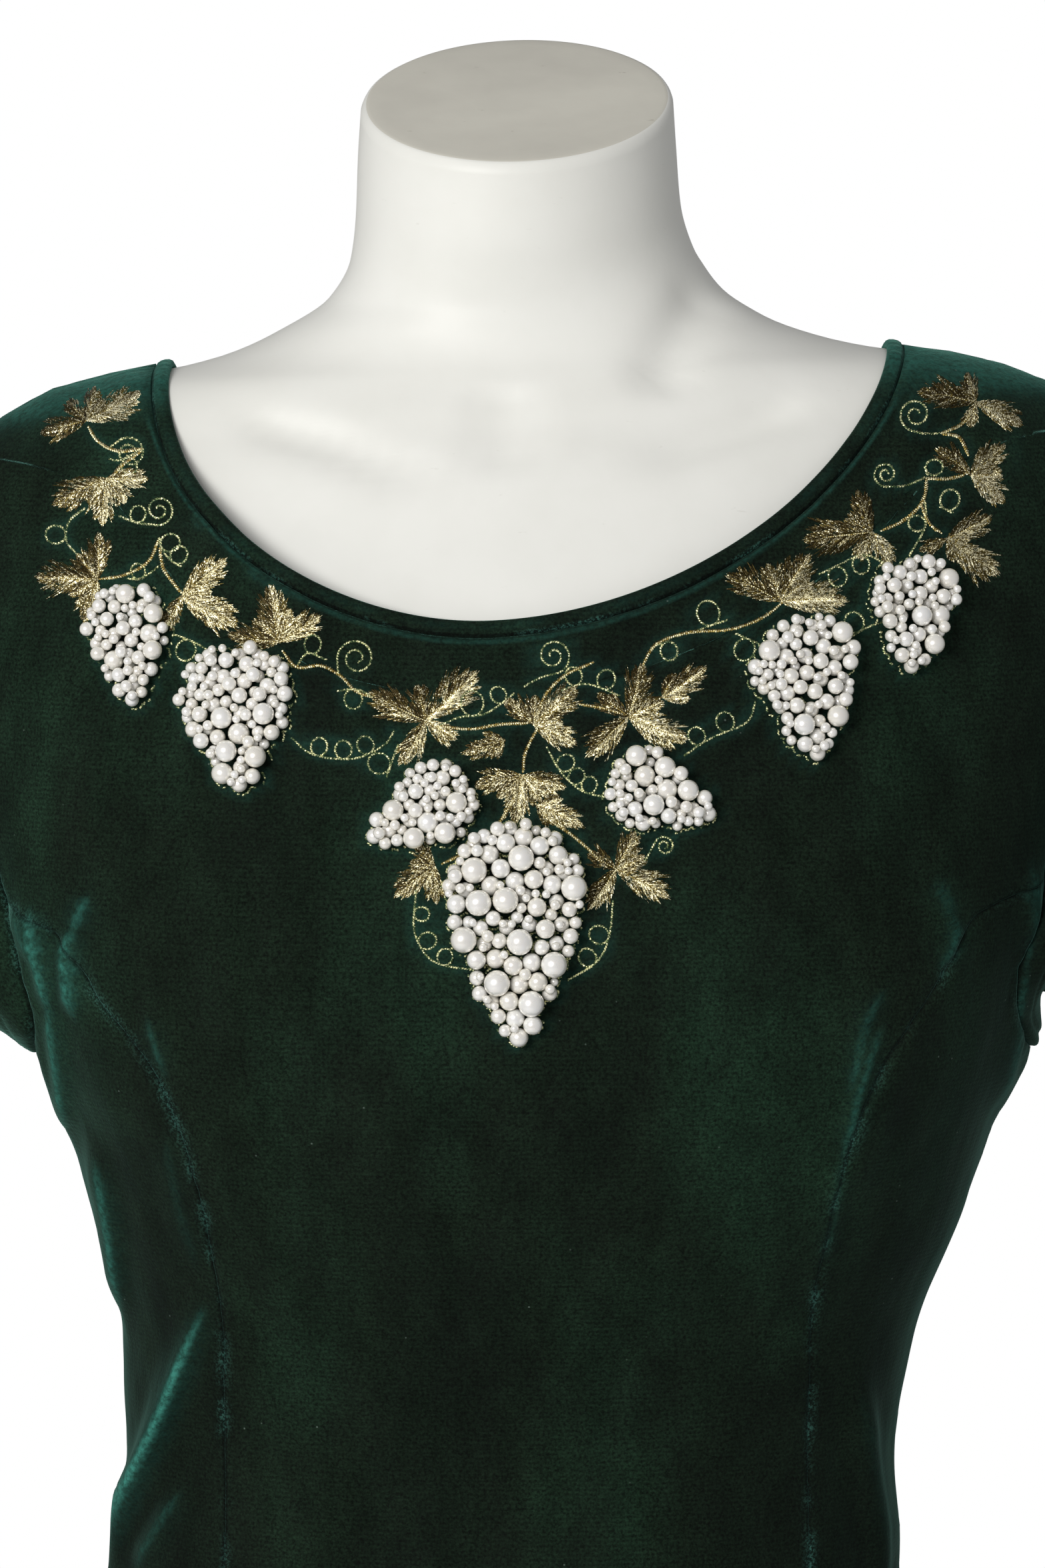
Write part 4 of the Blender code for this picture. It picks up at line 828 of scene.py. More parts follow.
def grid_faces(rows, columns, first=0, ring=False, flip=False):
    faces = []
    around = columns if ring else columns - 1
    for row in range(rows - 1):
        for column in range(around):
            a = first + row * columns + column
            b = first + row * columns + (column + 1) % columns
            face = (a, b, b + columns, a + columns)
            faces.append(face[::-1] if flip else face)
    return faces


def rim_faces(loop, layer):
    """Faces that join a loop of outer points to the inner ones, layer further on."""
    return [(a, b, b + layer, a + layer) for a, b in zip(loop, loop[1:] + loop[:1])]


def shell_area(points, faces):
    corners = np.asarray(points)[np.array(faces)]
    crossed = np.cross(corners[:, 2] - corners[:, 0], corners[:, 3] - corners[:, 1])
    return float(np.linalg.norm(crossed, axis=1).sum() / 2) * MM * MM


def seam_distance(points, edge):
    """Distance of each point from a line of edge points."""
    tree = KDTree(len(edge))
    for i, point in enumerate(edge):
        tree.insert(point, i)
    tree.balance()
    return np.array([tree.find(point)[2] for point in points])


def ripple(points, size, amount):
    """Soft random rise of the cloth; points moved by a fixed step give another pattern."""
    return amount * np.array([noise.noise(Vector(p) / size) for p in points])


STAND_OFF, STAND_OFF_REACH = 7.0, 16.0


def stand_off(points):
    """How far the front neck edge stands off the form, which is most below the right shoulder."""
    return (STAND_OFF * ease_in((-points[..., 0] - 5.0) / 80.0) * ease_in(-points[..., 1] / 40.0)
            * ease_in((SHOULDER_POINT_HEIGHT + 8.0 - points[..., 2]) / 40.0))


def shoulder_sheen(normals):
    """Painted sheen where the cloth lies flat on the shoulders and faces up."""
    return 0.40 * ease_in((normals[..., 2] - 0.50) / 0.50) ** 1.6


# Puckers near a line of stitches: a shift that gives each its own pattern, size, height and reach.
SEAM_PUCKERS, NECK_PUCKERS = (800.0, 5.5, 0.55, 6.0), (1200.0, 7.0, 0.9, 9.0)
EMBROIDERY_PUCKERS, SLEEVE_PUCKERS = (1600.0, 4.6, 1.3, 5.0), (800.0, 6.0, 1.0, 8.0)


def puckers(points, near, shift, size, amount, reach):
    return ripple(points + shift, size, amount) * bell(near, reach)


def dressed(points, normals, seams, neck=None, stitched=None):
    """A panel's outer points with creases, seams and puckers, and the sheen and seam at each."""
    flat = points.reshape(-1, 3)
    rise, sheen = creases(flat)
    # Painted sheen where the cloth faces up on the shoulders.
    sheen = np.maximum(sheen, shoulder_sheen(normals.reshape(-1, 3)))
    rise += ripple(flat, 45.0, 0.9) + ripple(flat + 400.0, 14.0, 0.25)
    near = seam_distance(flat, seams)
    seam = bell(near, 2.4)
    rise += -0.35 * bell(near, 1.3)
    rise += puckers(flat, near, *SEAM_PUCKERS)
    if neck is not None:
        near = seam_distance(flat, neck)
        rise += 0.8 * bell(near - 1.8, 1.5) - 0.5 * bell(near, 0.9)
        rise += puckers(flat, near, *NECK_PUCKERS)
        # Painted sheen: a thin light line along the neck edge.
        sheen = np.maximum(sheen, 0.16 * bell(near - 1.4, 0.7))
    if stitched is not None:
        near = seam_distance(flat, stitched)
        rise += puckers(flat, near, *EMBROIDERY_PUCKERS)
        rise += -0.45 * bell(near, 1.6)
        # Painted sheen: a faint teal halo round the embroidery.
        sheen = np.maximum(sheen, 0.08 * bell(near, 1.8))
    outer = points + (rise[:, None] * normals.reshape(-1, 3)).reshape(points.shape)
    return outer, sheen, seam


def cloth_piece(name, outer, inner, rim, seam, sheen, ring=False, over=False):
    """A cloth wall between two grids of points, its area and its outer side for Cloth."""
    rows, columns = outer.shape[:2]
    layer = rows * columns
    flat = outer.reshape(-1, 3)
    points = np.concatenate([flat, inner.reshape(-1, 3)])
    outside = grid_faces(rows, columns, ring=ring)
    faces = outside + grid_faces(rows, columns, layer, ring=ring, flip=True) + rim
    if over:
        faces = [face[::-1] for face in faces]
    marks = [0] * len(outside) + [1] * len(outside) + [0] * len(rim)
    values = {"sheen": np.append(sheen, np.zeros(layer)), "seam": np.append(seam, np.zeros(layer))}
    made = new_object(name, points, faces, (VELVET, LINING), marks, "velvet", len(rim), **values)
    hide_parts(name.replace("velvet_", ""))
    return made, shell_area(points, outside), (flat, outside)


def panel(name, angle, height, seam_sides, neck_side=False, stitched=None):
    """A cloth panel on a grid of places; seam_sides are the grid's edges that are sewn."""
    outer, normals = dress_places(angle, height)
    rows, columns = angle.shape
    if neck_side:
        near = seam_distance(outer.reshape(-1, 3), outer[-1]).reshape(rows, columns)
        outer = outer + (stand_off(outer) * bell(near, STAND_OFF_REACH))[..., None] * normals
    edges = {"top": outer[-1], "first": outer[:, 0], "last": outer[:, -1]}
    seams = np.concatenate([edges[side] for side in seam_sides])
    neck = outer[-1] if neck_side else None
    inner = outer - CLOTH * normals
    outer, sheen, seam = dressed(outer, normals, seams, neck, stitched)
    grid = np.arange(rows * columns).reshape(rows, columns)
    loop = [*grid[0], *grid[1:, -1], *grid[-1, -2::-1], *grid[-2:0:-1, 0]]
    rim = [face[::-1] for face in rim_faces([int(i) for i in loop], rows * columns)]
    return cloth_piece(name, outer, inner, rim, seam, sheen, over=angle[0, -1] <= angle[0, 0])


CLOTH_SEARCH = 25.0  # how far the cloth may lie from where the smooth surface puts it


class Cloth:
    """The cloth that shows, to lay things on at pixels of the photograph."""

    def __init__(self, parts):
        points, faces = [], []
        for outer, outside in parts:
            faces += [tuple(len(points) + i for i in face) for face in outside]
            points += outer.tolist()
        self.tree = BVHTree.FromPolygons(points, faces)

    def under(self, places, outward):
        """The nearest place and the normal of the cloth for each of the places."""
        place, normal = np.array(places), np.array(outward)
        for i, point in enumerate(places):
            hit, facing, _, _ = self.tree.find_nearest(Vector(point))
            place[i], normal[i] = hit, facing if facing.dot(outward[i]) > 0 else -facing
        return place, normal

    def seen(self, px, py):
        """Place and normal of the cloth at each pixel."""
        angle, height = seen_places(px, py)
        place, normal = dress_places(angle, height)
        ray = FORWARD + ((PHOTO_HEIGHT / 2 - py) / FOCAL_PIXELS)[:, None] * UPWARD
        ray[:, 0] += (px - PHOTO_WIDTH / 2) / FOCAL_PIXELS
        for i, way in enumerate(unit_rows(ray)):
            hit, facing, _, _ = self.tree.ray_cast(Vector(CAMERA_AT), Vector(way))
            if hit and (hit - Vector(place[i])).length < CLOTH_SEARCH:
                place[i] = hit
                normal[i] = facing if facing.dot(way) < 0 else -facing
        return place, normal


# A panel's rows: level ones to the hips and to LAST_LEVEL, then up to, round and past the armhole.
HIPS, LAST_LEVEL = 985.0, 1166.0
SKIRT_ROWS, WAIST_ROWS, RISE_ROWS, ARMHOLE_ROWS, SHOULDER_ROWS = 60, 96, 52, 92, 22
FRONT_COLUMNS, BACK_COLUMNS, SIDE_COLUMNS, SIDE_RISE_ROWS = 141, 46, 81, 54
FRONT_CROWDING = 1.25  # above 1, the centre front's columns lie closer near its seams
SEAM_ANGLE = 0.01  # degrees between a panel's edge and its seam line


def fine_rows(coarse):
    """Heights from the hem to the last level row: close together where the photograph shows them."""
    skirt = np.linspace(HEM_HEIGHT, HIPS, SKIRT_ROWS // coarse)
    return np.concatenate([skirt, np.linspace(HIPS, LAST_LEVEL, WAIST_ROWS // coarse)[1:]])


def even_rises(seam, top, count):
    """Heights from the last level row up to the armhole, at even steps along the seam."""
    fine = np.linspace(LAST_LEVEL, top, 300)
    steps = np.hypot(np.diff(fine), np.diff(seam(fine)) * MM_PER_DEGREE)
    run = np.concatenate([[0], np.cumsum(steps)])
    return np.interp(np.linspace(0, run[-1], count), run, fine)


def edge_line(seam, waves, first_way, coarse, turn):
    """Angle and height up a panel's outer edge: seam, armhole, shoulder."""
    gap = turn * SEAM_ANGLE
    level = fine_rows(coarse)
    pace = PRINCESS[-1] if first_way else seam
    rise = even_rises(pace, float(armhole_height(first_way)), RISE_ROWS // coarse)[1:]
    ways = np.linspace(first_way, 180.0, ARMHOLE_ROWS // coarse)[1:]
    shoulder = np.linspace(SHOULDER_POINT_HEIGHT, NECK_SIDE_HEIGHT, SHOULDER_ROWS // coarse)[1:]
    armhole = 90 + turn * (armhole_half_angle(ways, waves) + SEAM_ANGLE)
    angle = [seam(level) + gap, seam(rise) + gap, armhole, 90 + gap + 0 * shoulder]
    return np.concatenate(angle), np.concatenate([level, rise, armhole_height(ways), shoulder])


def rise_to_neck(height, neck_height):
    """Heights above the last level row, squeezed so that each column ends at its neck edge."""
    share = np.clip((height - LAST_LEVEL) / (NECK_SIDE_HEIGHT - LAST_LEVEL), 0.0, 1.0)
    return np.where(height <= LAST_LEVEL, height, mix(LAST_LEVEL, neck_height, share))


def centre_front(stitched):
    columns = np.linspace(-1, 1, FRONT_COLUMNS)
    columns = np.sign(columns) * (1 - (1 - np.abs(columns)) ** FRONT_CROWDING)
    left, height = edge_line(PRINCESS[-1], ARMHOLE_FRONT, PRINCESS_WAY, 1, -1)
    right, _ = edge_line(PRINCESS[1], ARMHOLE_FRONT, PRINCESS_WAY, 1, -1)
    edge = np.where(columns[None, :] < 0, left[:, None], right[:, None])
    angle = columns[None, :] * edge
    places = rise_to_neck(height[:, None], FRONT_NECK(90 * columns)[None, :])
    return panel("velvet_front_centre", angle, places, ("first", "last"), True, stitched)


def back(name, side):
    columns = np.linspace(0, 1, BACK_COLUMNS)
    edge, height = edge_line(lambda h: 90 + 0 * h, ARMHOLE_BACK, 0.0, 2, 1)
    angle = side * mix(180 - SEAM_ANGLE, edge[:, None], columns[None, :])
    places = rise_to_neck(height[:, None], BACK_NECK(90 * columns)[None, :])
    return panel(name, angle, places, ("first", "last"), True)


def side_front(name, side):
    columns = np.linspace(0, 1, SIDE_COLUMNS)
    level = fine_rows(1)
    ways = np.linspace(PRINCESS_WAY, 0.0, SIDE_COLUMNS)
    top_angle = 90 - armhole_half_angle(ways, ARMHOLE_FRONT) - SEAM_ANGLE
    top_height = armhole_height(ways)
    low = PRINCESS[side](top_height)
    shares = np.clip((top_angle - low) / (90 - SEAM_ANGLE - low), 0.0, 1.0)
    up = np.linspace(0, 1, SIDE_RISE_ROWS)[1:, None]
    rise_columns = mix(columns[None, :], shares[None, :], up)
    rise_heights = mix(LAST_LEVEL, top_height[None, :], up)
    column = np.concatenate([np.repeat(columns[None, :], len(level), 0), rise_columns])
    height = np.concatenate([np.repeat(level[:, None], len(columns), 1), rise_heights])
    angle = side * mix(PRINCESS[side](height) + SEAM_ANGLE, 90 - SEAM_ANGLE, column)
    return panel(name, angle, height, ("first", "last", "top"))


# ---- Sleeves and binding -------------------------------------------------------------------------------
SLEEVE_GRID = (44, 96)  # rows, columns
SLEEVE_TUCK = 0.8  # how far its first row lies under the panels
SLEEVE_STITCH_TO_HEM = 14.0


def sleeve_points(way, side, share):
    """Points of a sleeve's outside, from the armhole (share 0) to the hem (1)."""
    climb = np.where(way <= 180, way, 360 - way)
    off = np.where(way <= 180, armhole_half_angle(climb, ARMHOLE_FRONT),
                   armhole_half_angle(climb, ARMHOLE_BACK))
    angle = side * np.where(way <= 180, 90 - off, 90 + off)
    start = dress_points(angle, armhole_height(climb))
    cos, sin = np.cos(np.radians(way)), np.sin(np.radians(way))
    slope = math.radians(SLEEVE_HEM_SLOPE)
    x, y, z = SLEEVE_HEM_CENTRE
    reach = -SLEEVE_HEM_HALF_WIDTH * cos
    z = z + (LEFT_SLEEVE_LIFT if side > 0 else 0.0)
    end = worn(np.stack([side * (x + reach * math.cos(slope)),
                         y - SLEEVE_HEM_HALF_DEPTH * sin,
                         z + reach * math.sin(slope)], axis=-1))
    cap = (1 - cos) / 2
    leave = unit_rows(np.stack([side + 0 * cap, 0 * cap, mix(0.12, -0.30, cap)], axis=-1))
    leave = leave * mix(6.0, 34.0, cap)[..., None]
    arrive = np.array([side * math.sin(slope), 0, -math.cos(slope)]) * mix(4.0, 52.0, cap)[..., None]
    t = share[..., None] if isinstance(share, np.ndarray) else share
    return ((1 - t) ** 3 * start + 3 * (1 - t) ** 2 * t * (start + leave)
            + 3 * (1 - t) * t**2 * (end - arrive) + t**3 * end)


def sleeve(name, side):
    rows, count = SLEEVE_GRID
    way, share = np.meshgrid(np.linspace(0, 360, count + 1)[:-1], np.linspace(0, 1, rows))
    outer = sleeve_points(way, side, share)
    along = sleeve_points((way + 2) % 360, side, share) - sleeve_points((way - 2) % 360, side, share)
    down = (sleeve_points(way, side, np.minimum(share + 0.02, 1))
            - sleeve_points(way, side, np.maximum(share - 0.02, 0)))
    normals = side * unit_rows(np.cross(down, along))
    inner = outer - CLOTH * normals
    flat = outer.reshape(-1, 3)
    near = seam_distance(flat, outer[0])
    rise = -1.0 * bell(near, 1.7) + ripple(flat, 30.0, 1.0)
    rise += puckers(flat, near, *SLEEVE_PUCKERS)
    rise += -0.5 * bell(seam_distance(flat, outer[-1]) - SLEEVE_STITCH_TO_HEM, 1.2)
    outer = outer + (rise[:, None] * normals.reshape(-1, 3)).reshape(outer.shape)
    tuck = SLEEVE_TUCK * unit_rows(down[0])
    outer[0] -= tuck
    inner[0] -= tuck
    layer = rows * count
    rim = [face[::-1] for face in rim_faces(list(range(count)), layer)]
    rim += rim_faces(list(range(layer - count, layer)), layer)
    # Painted sheen on the creases and where the sleeve faces up on the shoulders.
    sheen = np.maximum(creases(flat)[1], shoulder_sheen(normals.reshape(-1, 3)))
    return cloth_piece(name, outer, inner, rim, bell(near, 2.0), sheen, ring=True, over=side > 0)


def neck_places(way):
    """Angle and height of the neck edge at a way round it, 0 at the centre front."""
    way = np.asarray(way, float) % 360
    from_front = np.where(way <= 180, way, 360 - way)
    side = np.where(way <= 180, 1.0, -1.0)
    front = FRONT_NECK(side * np.minimum(from_front, 90))
    behind = BACK_NECK(side * np.minimum(180 - from_front, 90))
    return side * from_front, np.where(from_front <= 90, front, behind)


# The folded band's section: up from the neck edge, out from the cloth, painted sheen.
BINDING_SECTION = (
    (0.0, -1.2, 0), (0.3, -0.4, 0), (0.9, 0.35, 0), (1.8, 0.75, 0.01), (3.2, 0.9, 0.03),
    (4.6, 0.7, 0.02), (5.5, 0.1, 0), (5.9, -0.8, 0), (5.7, -1.7, 0), (5.0, -2.0, 0),
    (3.0, -2.0, 0), (0.4, -2.0, 0),
)
BINDING_STEPS = 480


def binding():
    angle, height = neck_places(np.linspace(0, 360, BINDING_STEPS + 1)[:-1])
    edge, normal = dress_places(angle, height)
    edge = edge + stand_off(edge)[:, None] * normal
    along = unit_rows(np.roll(edge, -1, axis=0) - np.roll(edge, 1, axis=0))
    inward = unit_rows(np.cross(normal, along))
    pucker = ripple(edge, 5.0, 0.35) + ripple(edge, 16.0, 0.35)
    rings = []
    for up, out, _ in BINDING_SECTION:
        raised = out + (pucker if out > 0 else 0 * pucker)
        rings.append(edge + inward * up + normal * raised[:, None])
    points = np.stack(rings, axis=1).reshape(-1, 3)
    size = len(BINDING_SECTION)
    faces = []
    for i in range(BINDING_STEPS):
        for j in range(size):
            k, n = (i + 1) % BINDING_STEPS, (j + 1) % size
            faces.append((i * size + j, k * size + j, k * size + n, i * size + n))
    lit = np.array([sheen for _, _, sheen in BINDING_SECTION])
    # Painted sheen on the band's ridge, made patchy, with painted shoulder sheen where it faces up.
    patchy_sheen = 1 + 1.6 * ripple(edge + 90.0, 11.0, 1.0)
    sewn = np.array([1.0 if up < 1.0 and out > -0.5 else 0.0 for up, out, _ in BINDING_SECTION])
    made = new_object("velvet_neck_binding", points, faces, (VELVET,), slot="velvet",
                      sheen=(np.maximum(patchy_sheen, 0.2)[:, None] * lit
                             + shoulder_sheen(normal)[:, None]).ravel(),
                      seam=np.tile(sewn, BINDING_STEPS))
    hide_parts("neck_binding")
    return made


# ---- Stitches ------------------------------------------------------------------------------------
def lay_stitches(name, finish, start, end, width, rise, lift, shade):
    """Low ridged stitches between the starts and the ends, each a place and a normal."""
    (start, normal0), (end, normal1) = start, end
    normal = unit_rows(normal0 + normal1)
    side = unit_rows(np.cross(normal, end - start)) * width / 2
    low = normal * (lift - 0.1)
    points = [start + low]
    for share in (0.22, 0.78):
        middle = mix(start, end, share)
        points += [middle + side + low, middle + normal * (lift + rise), middle - side + low]
    points.append(end + low)
    points = np.stack(points, axis=1).reshape(-1, 3)
    pattern = ((0, 2, 1), (0, 3, 2), (1, 2, 5, 4), (2, 3, 6, 5), (4, 5, 7), (5, 6, 7))
    faces = [tuple(8 * i + j for j in face) for i in range(len(start)) for face in pattern]
    shares = np.array((0.0, 0.22, 0.22, 0.22, 0.78, 0.78, 0.78, 1.0))
    run = np.linalg.norm(end - start, axis=1)[:, None] * shares
    new_object(name, points, faces, (finish,), slot="velvet", shade=np.repeat(shade, 8),
               run=run.ravel(), seed=np.repeat(np.arange(len(start)) * 0.618 % 1 * 60, 8))


LEAF_SPACING, SATIN_SPACING, CHAIN_SPACING = 1.4, 1.7, 4.0  # pixels from stitch to stitch
CURL_TURN, CURL_END = 3.3 * math.pi, 4.0  # a tendril's closing curl: its turn, its smallest radius


class Sewing:
    """Stitches in the photograph's plane, laid on the dress together at the end."""

    def __init__(self):
        self.rows = []  # x0, y0, x1, y1, width, rise, lift, shade

    def stitch(self, start, end, width, rise, shade, lift=0.0):
        self.rows.append((*start, *end, width, rise, lift, shade))

    def places(self):
        data = np.array(self.rows)
        middle = (data[:, 0:2] + data[:, 2:4]) / 2
        angle, height = seen_places(middle[:, 0], middle[:, 1])
        return dress_points(angle, height)

    def make(self, name, finish, cloth):
        data = np.array(self.rows)
        start, end = (cloth.seen(data[:, i], data[:, i + 1]) for i in (0, 2))
        width, rise, lift = (data[:, i][:, None] for i in (4, 5, 6))
        lay_stitches(name, finish, start, end, width, rise, lift, data[:, 7])


def turned(length, degrees):
    """A step in the photograph's plane, whose y runs down."""
    return np.array([length * math.cos(math.radians(degrees)),
                     -length * math.sin(math.radians(degrees))])


def satin_cord(sewing, points, width, draw, taper=0.5):
    """Slanted stitches across a line, every other one raised, set toward its lower side and bright with
    painted glints.
    """
    line = spline(points, SATIN_SPACING)
    for i in range(len(line) - 1):
        along = unit(line[i + 1] - line[i])
        down = np.array([along[1], -along[0]])
        down = -down if down[1] < 0 else down
        ends = min(1.0, taper + 6 * min(i, len(line) - 2 - i) / len(line))
        half = width / 2 * ends * draw.uniform(0.85, 1.1)
        if i % 2:
            sewing.stitch(line[i] - down * half - along * 1.4, line[i] + down * half + along * 1.4,
                          0.42, 0.50 * ends, draw.uniform(0.0, 0.45))
        else:
            sewing.stitch(line[i] - down * half * 0.35 - along * 1.2,
                          line[i] + down * half * 1.1 + along * 1.8,
                          0.66, 0.60 * ends, draw.uniform(0.55, 1.1), 0.12)


def leaf_lobe(sewing, veins, centre, degrees, length, draw, fullness):
    """Stitches that slant from one lobe's vein out to its pointed, toothed edge."""
    centre = np.array(centre, float)
    bend = draw.uniform(-7, 7)
    steps = int(length / LEAF_SPACING)
    for side in (-1, 1):
        teeth, phase = draw.uniform(2.4, 3.4) * length / 75, draw.random()
        # Painted light and shade: stitches that run down to the right are painted brighter, with more
        # glints, and those that run up are painted browner.
        glow = draw.uniform(-0.14, 0.16) + 0.26 * math.cos(math.radians(degrees + side * 35 + 35))
        for i in range(steps):
            share = (i + draw.uniform(-0.4, 0.4)) / steps
            root = centre + turned(length * share, degrees + bend * share)
            breadth = (min(share / 0.30, 1.0) ** 0.5 * min((1 - share) / 0.66, 1.0) ** 0.95
                       if 0 < share < 1 else 0.0)
            tooth = (share * teeth + phase) % 1.0
            slant = mix(46, 24, min(max(share, 0), 1)) - 9 * tooth
            reach = (length * fullness * breadth * mix(0.60, 1.32, tooth) * draw.uniform(0.86, 1.10)
                     / math.sin(math.radians(40)) + 3.0)
            way = degrees + bend * share + side * slant
            inner = draw.uniform(0.35, 0.65)
            sewing.stitch(root - turned(0.8, way), root + turned(reach * inner + 1, way), 0.38,
                          0.50, 0.5 + glow + draw.uniform(-0.40, 0.40), 0.10)
            sewing.stitch(root + turned(reach * inner, way), root + turned(reach, way), 0.36, 0.34,
                          0.38 + glow + draw.uniform(-0.35, 0.35))
    tip = centre + turned(length * 1.07, degrees + bend)
    for _ in range(4):
        root = centre + turned(length * draw.uniform(0.76, 0.86), degrees + bend + draw.uniform(-3, 3))
        sewing.stitch(root, tip + turned(2, draw.uniform(0, 360)), 0.34, 0.4, draw.uniform(0.3, 0.9))
    middle = centre + turned(length * 0.5, degrees + bend * 0.5)
    satin_cord(veins, (centre, middle, centre + turned(length * 0.80, degrees + bend)), 3.0, draw, 0.4)


def chain(sewing, line, draw):
    """Rope stitch along a line of close points: slanted dashes beside a thin dark thread."""
    for i in range(0, len(line) - 1):
        along = line[i + 1] - line[i]
        size = max(np.linalg.norm(along), 1e-6)
        sideways = np.array([along[1], -along[0]]) / size
        sewing.stitch(line[i] - sideways * 1.3 - along * 0.1, line[i + 1] + sideways * 1.7 + along * 0.2,
                      0.60, 0.46, draw.uniform(0.35, 1.10), 0.08)
        sewing.stitch(line[i] + sideways * 1.9, line[i + 1] - sideways * 1.7, 0.44, 0.28,
                      draw.uniform(0.0, 0.6))


def with_loops(points, loops, curl):
    """A tendril's line with its loops and its closing curl, spaced for chain stitches."""
    line = spline(points, CHAIN_SPACING)
    made = []
    stops = {int(share * (len(line) - 1)): (radius, side) for share, radius, side in loops}
    for i, point in enumerate(line):
        made.append(point)
        if i in stops:
            radius, side = stops[i]
            ahead = unit(line[min(i + 1, len(line) - 1)] - line[max(i - 1, 0)])
            out = side * np.array([-ahead[1], ahead[0]])
            count = int(2 * math.pi * radius / CHAIN_SPACING)
            for k in range(1, count):
                turn = 2 * math.pi * k / count
                made.append(point + out * radius * (1 - math.cos(turn))
                            + ahead * radius * math.sin(turn) * 0.9)
    if curl:
        radius, side = curl
        ahead = unit(line[-1] - line[-2])
        out = side * np.array([-ahead[1], ahead[0]])
        centre = line[-1] + out * radius
        turn, size = 0.0, radius
        while turn < CURL_TURN and size > CURL_END:
            turn += CHAIN_SPACING / size
            size = radius * (1 - 0.76 * turn / CURL_TURN)
            made.append(centre - out * size * math.cos(turn) + ahead * size * math.sin(turn))
    return np.array(made)


def embroider():
    """All stitches of the garland: its leaves, its cords and its chains."""
    leaves, cords, chains = Sewing(), Sewing(), Sewing()
    draw = random.Random(5)
    for x, y, main, length, left, left_length, right, right_length in LEAVES:
        lobes = [(main, length, 0.31), (left, left_length, 0.30), (right, right_length, 0.30)]
        for one, other in ((main, left), (main, right)):
            between = one + across(other, one) / 2
            lobes.append((between, 0.56 * min(length, left_length, right_length) + 10, 0.38))
        for degrees, size, fullness in sorted(lobes, key=lambda lobe: lobe[1]):
            leaf_lobe(leaves, cords, (x, y), degrees, size, draw, fullness)
    for x, y, degrees, length in SMALL_LEAVES:
        for turn, share, fullness in ((0, 1, 0.27), (34, 0.5, 0.3), (-34, 0.5, 0.3)):
            leaf_lobe(leaves, cords, (x, y), degrees + turn, length * share, draw, fullness)
    for points in STEMS:
        satin_cord(cords, points, 6.2, draw)
    for points, loops, curl in TENDRILS:
        chain(chains, with_loops(points, loops, curl), draw)
    return leaves, cords, chains


# ---- Pearls ------------------------------------------------------------------------------------------
def bunch_half_width(share, width):
    """Half width of a bunch at a share of the way from its top to its tip."""
    shoulder = math.sqrt(1 - (1 - min(max(share, 0.0) / 0.36, 1.0)) ** 2)
    return width / 2 * shoulder * max(1 - max(share - 0.36, 0) / 0.64, 0.0) ** 0.62


def touching(one, other, radius):
    """The two places where a pearl of a radius touches two others, as seen from the front."""
    (ax, ay, a_radius), (bx, by, b_radius) = one[:3], other[:3]
    a, b = (PEARL_NEARNESS * (radius + r) + 0.05 for r in (a_radius, b_radius))
    away = math.hypot(bx - ax, by - ay)
    if not 1e-6 < away < a + b:
        return ()
    along = (a * a - b * b + away * away) / (2 * away)
    off = math.sqrt(max(a * a - along * along, 0.0))
    ux, uy = (bx - ax) / away, (by - ay) / away
    return tuple((ax + ux * along - uy * off * s, ay + uy * along + ux * off * s) for s in (-1, 1))


def pearl_lift(x, y, radius, pearls):
    """How far a pearl stands off the cloth to clear the others, or None where it can't."""
    near = [(z + r, math.sqrt(max((radius + r) ** 2 - (x - px) ** 2 - (y - py) ** 2, 0.0)))
            for px, py, r, z, _ in pearls]
    for centre in sorted([radius] + [z + need for z, need in near]):
        if centre >= radius and all(abs(centre - z) > need - 1e-6 for z, need in near):
            return centre - radius if centre - radius < PEARL_MOST_LIFT else None
    return None


def pearl_place(radius, width, length, pearls):
    """The lowest free place (x, y, lift) for a pearl that touches two others, or None."""
    best = None
    for i, one in enumerate(pearls):
        for other in pearls[:i]:
            if abs(one[1] - other[1]) > 4 * PEARLS[0][0]:
                continue
            for x, y in touching(one, other, radius):
                reach = bunch_half_width(y / length, width) - radius * 0.75 + 0.9
                if y < radius * 0.9 or abs(x) > reach or (best and y <= best[1]):
                    continue
                if all(math.hypot(x - p[0], y - p[1]) > PEARL_NEARNESS * (radius + p[2])
                       for p in pearls):
                    lift = pearl_lift(x, y, radius, pearls)
                    best = best if lift is None else (x, y, lift)
    return best


def place_pearls(width, length, scale, seed):
    """Pearls of a bunch, (x, y, radius, lift, rings), y down from 0 to length, from the tip up."""
    draw = random.Random(seed)
    kinds = [(radius * scale, share, rings) for radius, share, rings in PEARLS]
    tip = kinds[1][0]
    pearls = [(0.0, length - tip, tip, 0.0, kinds[1][2])]
    pearls.append((0.3 * draw.choice((-tip, tip)), length - 3 * tip, tip, 0.0, kinds[1][2]))
    place = True
    while place:
        for radius, _, rings in sorted(kinds, key=lambda k: -draw.random() ** (1 / k[1])):
            place = pearl_place(radius, width, length, pearls)
            if place:
                pearls.append((*place[:2], radius, place[2], rings))
                break
    return pearls


